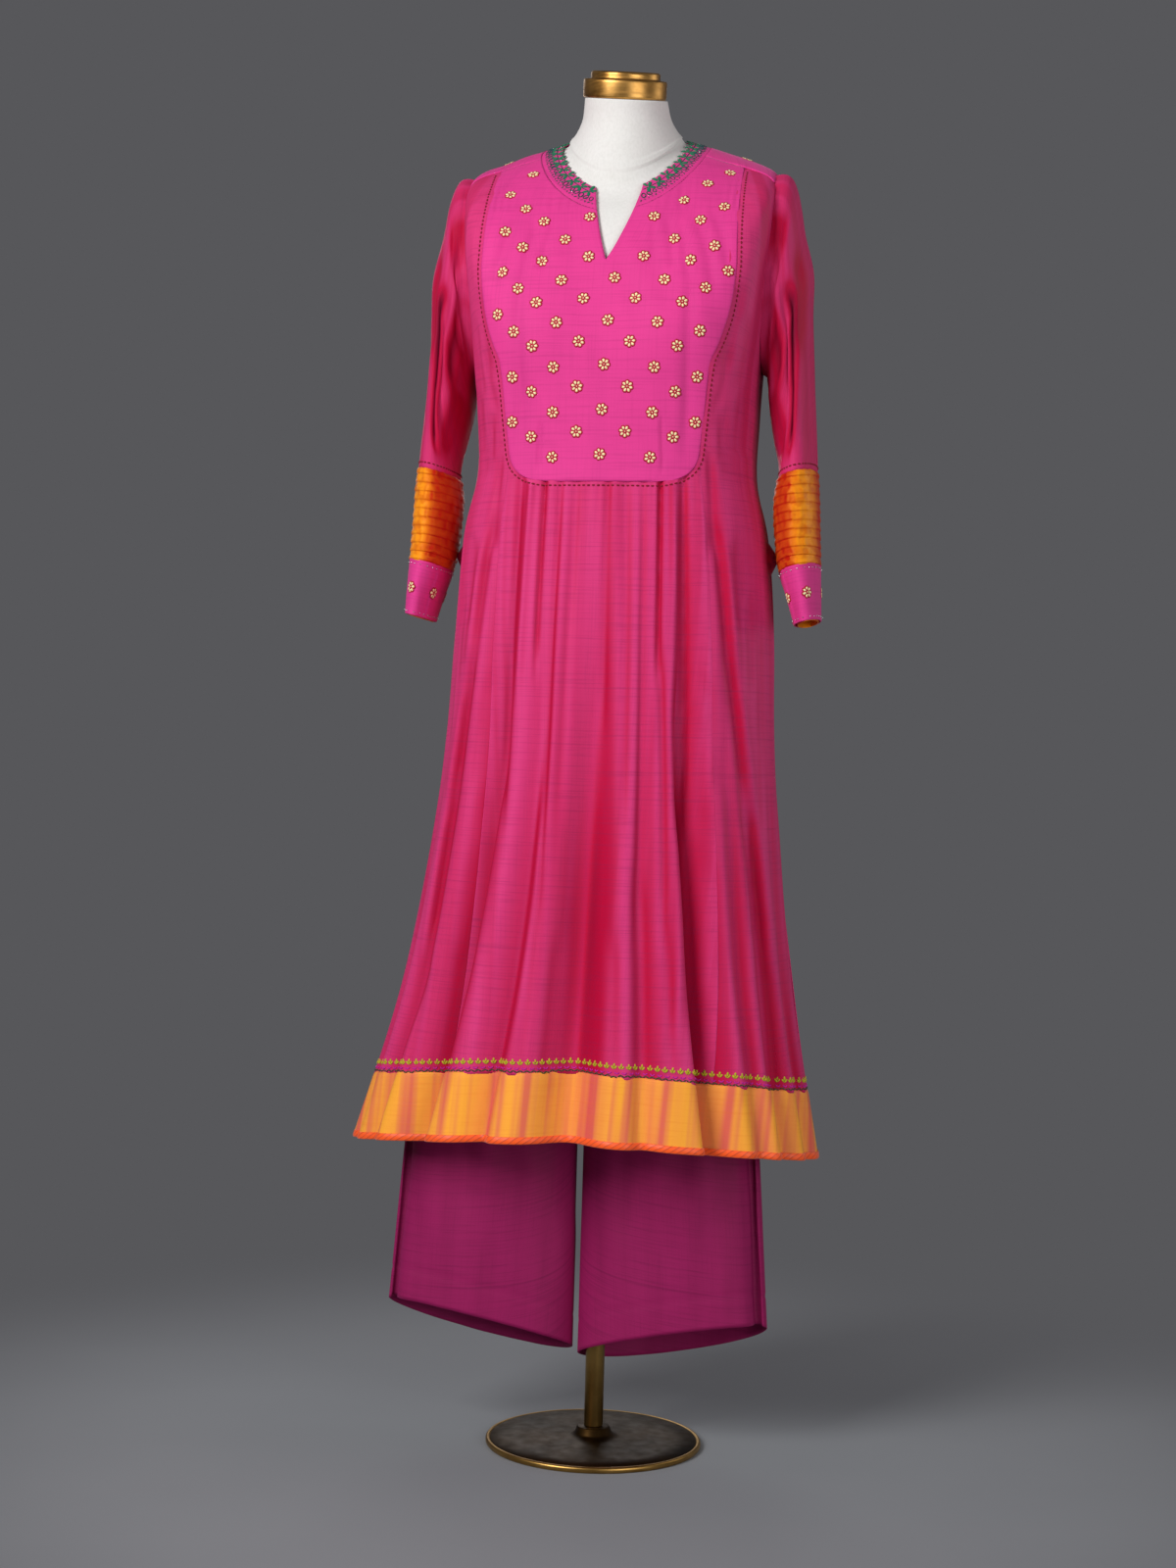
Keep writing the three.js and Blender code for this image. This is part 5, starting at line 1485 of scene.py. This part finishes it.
def band_path(row):
    """A line round the neck band, from one edge of the slit to the other."""
    right = float(slit_angle(1, lambda angle: row + 0 * angle))
    left = float(slit_angle(-1, lambda angle: row + 0 * angle))
    angle = np.linspace(right + 0.03, left + ROUND - 0.03, 400)
    return tunic(angle, row + 0 * angle)


def build_neck_embroidery():
    """A vine of leaf pairs with open loops outside it, sequins between, and a dark seam."""
    tree = cloth_tree("neck_band")
    leaf, open_loop = pad(8.6, 4.3, 0.9, 10), loop(7.0, 4.6, 1.2)
    stem, disc, small = dash(4.6, 1.3, 0.7), sequin(1.5), dash(3.4, 1.3, 0.7)

    def line(row, pitch):
        return line_of_stitches(tree, band_path(row), pitch)

    sprays = [spun(line(4.30, 14.5), turn, reach)
              for turn, reach in ((38, 5.4), (92, 5.6), (-48, 4.4), (-128, 4.2))]
    for name, shape, spots, material, uneven in (
            ("vine", stem, [line(4.30, 3.6)], TEAL_THREAD, 0.06),
            ("leaves", leaf, sprays, GREEN_FLOSS, 0.15),
            ("loops", open_loop, [by_turns(line(4.60, 7.25), 70, 110)], TEAL_THREAD, 0.15),
            ("sprigs", small, [by_turns(line(4.78, 4.8), 50, 130)], TEAL_THREAD, 0.2),
            ("sequins", disc, [line(4.12, 14.5), line(4.66, 21.8)], SEQUIN, 0.1),
            ("seam", stem, [line(4.965, 4.1)], SEAM_THREAD, 0.06)):
        sew(f"neck_{name}", shape, spots, material, "neck_band", uneven)
    drop_shapes(leaf, open_loop, stem, disc, small)


PLANT_PITCH = 8.6  # from plant to plant along the border


def build_border_embroidery():
    """Little plants along the top of the border, loops below them and a chain on the seam."""
    leaf, arch = pad(5.2, 2.4, 0.9), loop(4.4, 3.8, 1.5, 180, 360, 8)
    link = dash(4.6, 1.8, 0.6)
    parts = [("front", ["front_skirt", "front_side_left", "front_side_right", "border_front"],
              "front_skirt", np.linspace(-math.pi / 2 + 0.02, math.pi / 2 - 0.02, 500)),
             ("back", ["back_panel", "border_back"], "back_panel",
              np.linspace(math.pi / 2 + 0.02, 1.5 * math.pi - 0.02, 500))]

    def line(angle, height, pitch):
        path = tunic(angle, hem_row(angle, float(height)))
        return line_of_stitches(tree, path, pitch)

    for name, cloths, sheet, angle in parts:
        tree = cloth_tree(*cloths)
        plants = line(angle, BORDER_HEIGHT + 8.2, PLANT_PITCH)
        leaves = [spun(plants, turn, reach) for turn, reach in ((90, 4.4), (128, 2.7), (52, 2.7))]
        arches = [line(angle, BORDER_HEIGHT + 5.6, PLANT_PITCH)]
        links = [by_turns(line(angle, BORDER_HEIGHT + 1.2, 3.8), -32, 32)]
        for row, shape, spots, material, uneven in (
                ("plants", leaf, leaves, LEAF_THREAD, 0.12),
                ("loops", arch, arches, MAGENTA_THREAD, 0.06),
                ("chain", link, links, CHAIN_THREAD, 0.06)):
            sew(f"hem_{row}_{name}", shape, spots, material, sheet, uneven)
    drop_shapes(leaf, arch, link)


def build_cuff_beads():
    shape = bead(0.75)
    turns = np.linspace(0, ROUND, 91)
    for side, end in SIDES:
        tree = cloth_tree(f"cuff_{end}")
        spots = [line_of_stitches(tree, mirrored(sleeve_cloth(turns, row + 0 * turns), side), 7.5)
                 for row in (BAND_END + 0.14, WRIST)]
        sew(f"cuff_beads_{end}", shape, spots, SEQUIN, f"cuff_{end}", 0.1)
    drop_shapes(shape)


build_form()
build_neck_band()
build_front_yoke()
build_front_sides()
build_front_skirt()
build_back()
build_borders()
build_sleeves()
build_trousers()
build_stand()
build_flowers()
build_running_stitches()
build_neck_embroidery()
build_border_embroidery()
build_cuff_beads()


# Stage and light
ROOM_GREY = "#57575a"
FLOOR_NEAR, FLOOR_FAR = 0.35, 1.25  # metres from the pole over which the floor fades away


def make_stage():
    """A plain pale floor that fades into the room's grey, so that no horizon shows."""
    material, tree, shader = new_material("plain pale floor, matt paint", Roughness=0.85,
                                          Specular_IOR_Level=0.1)
    place = add_node(tree, "ShaderNodeTexCoord").outputs["Object"]
    grain = pattern(tree, place, (3, 3, 3), detail=3)
    tree.links.new(blend(tree, ramp(tree, grain, 0.3, 0.7, 0, 0.25), colour("#8c8e92"),
                         colour("#808287")), shader.inputs["Base Color"])
    glow = add_node(tree, "ShaderNodeEmission", {"Color": colour(ROOM_GREY)})
    reach = add_node(tree, "ShaderNodeVectorMath", {0: place}, operation="LENGTH").outputs["Value"]
    fade = add_node(tree, "ShaderNodeMapRange", {
        "Value": reach, "From Min": FLOOR_NEAR, "From Max": FLOOR_FAR},
        interpolation_type="SMOOTHERSTEP").outputs[0]
    mixed = add_node(tree, "ShaderNodeMixShader", {
        0: fade, 1: shader.outputs[0], 2: glow.outputs[0]})
    output = next(node for node in tree.nodes if node.type == "OUTPUT_MATERIAL")
    tree.links.new(mixed.outputs[0], output.inputs["Surface"])
    size = 6000
    corners = [(-size, -size, 0), (size, -size, 0), (size, size, 0), (-size, size, 0)]
    floor = mesh_object("floor", corners, [[0, 1, 2, 3]], material)
    floor.data.shade_flat()


def add_light(name, place, target, size, power, gloss=1.0):
    data = bpy.data.lights.new(name, "AREA")
    data.shape = "RECTANGLE"
    data.size, data.size_y = size
    data.energy = power
    data.specular_factor = gloss
    lamp = bpy.data.objects.new(name, data)
    bpy.context.scene.collection.objects.link(lamp)
    lamp.location = place
    away = Vector(place) - Vector(target)
    lamp.rotation_euler = away.to_track_quat("Z", "Y").to_euler()


def make_light():
    add_light("key", (-1.7, -2.6, 2.2), (0, 0, 1.0), (1.4, 1.8), 104)
    add_light("fill", (2.2, -2.4, 0.9), (0, 0, 0.6), (1.6, 1.8), 38, 0.3)
    add_light("right_edge", (2.2, 0.9, 1.7), (0, 0, 1.0), (0.8, 1.8), 8, 0.1)
    add_light("behind", (-0.8, 2.8, 2.0), (0, 0, 0.9), (1.6, 1.6), 15, 0.05)
    world = bpy.data.worlds.new("grey room")
    world.use_nodes = True
    back = world.node_tree.nodes["Background"]
    back.inputs[0].default_value = colour(ROOM_GREY)
    back.inputs[1].default_value = 1.0
    bpy.context.scene.world = world


make_stage()
make_light()
bpy.context.scene.view_settings.view_transform = "Standard"
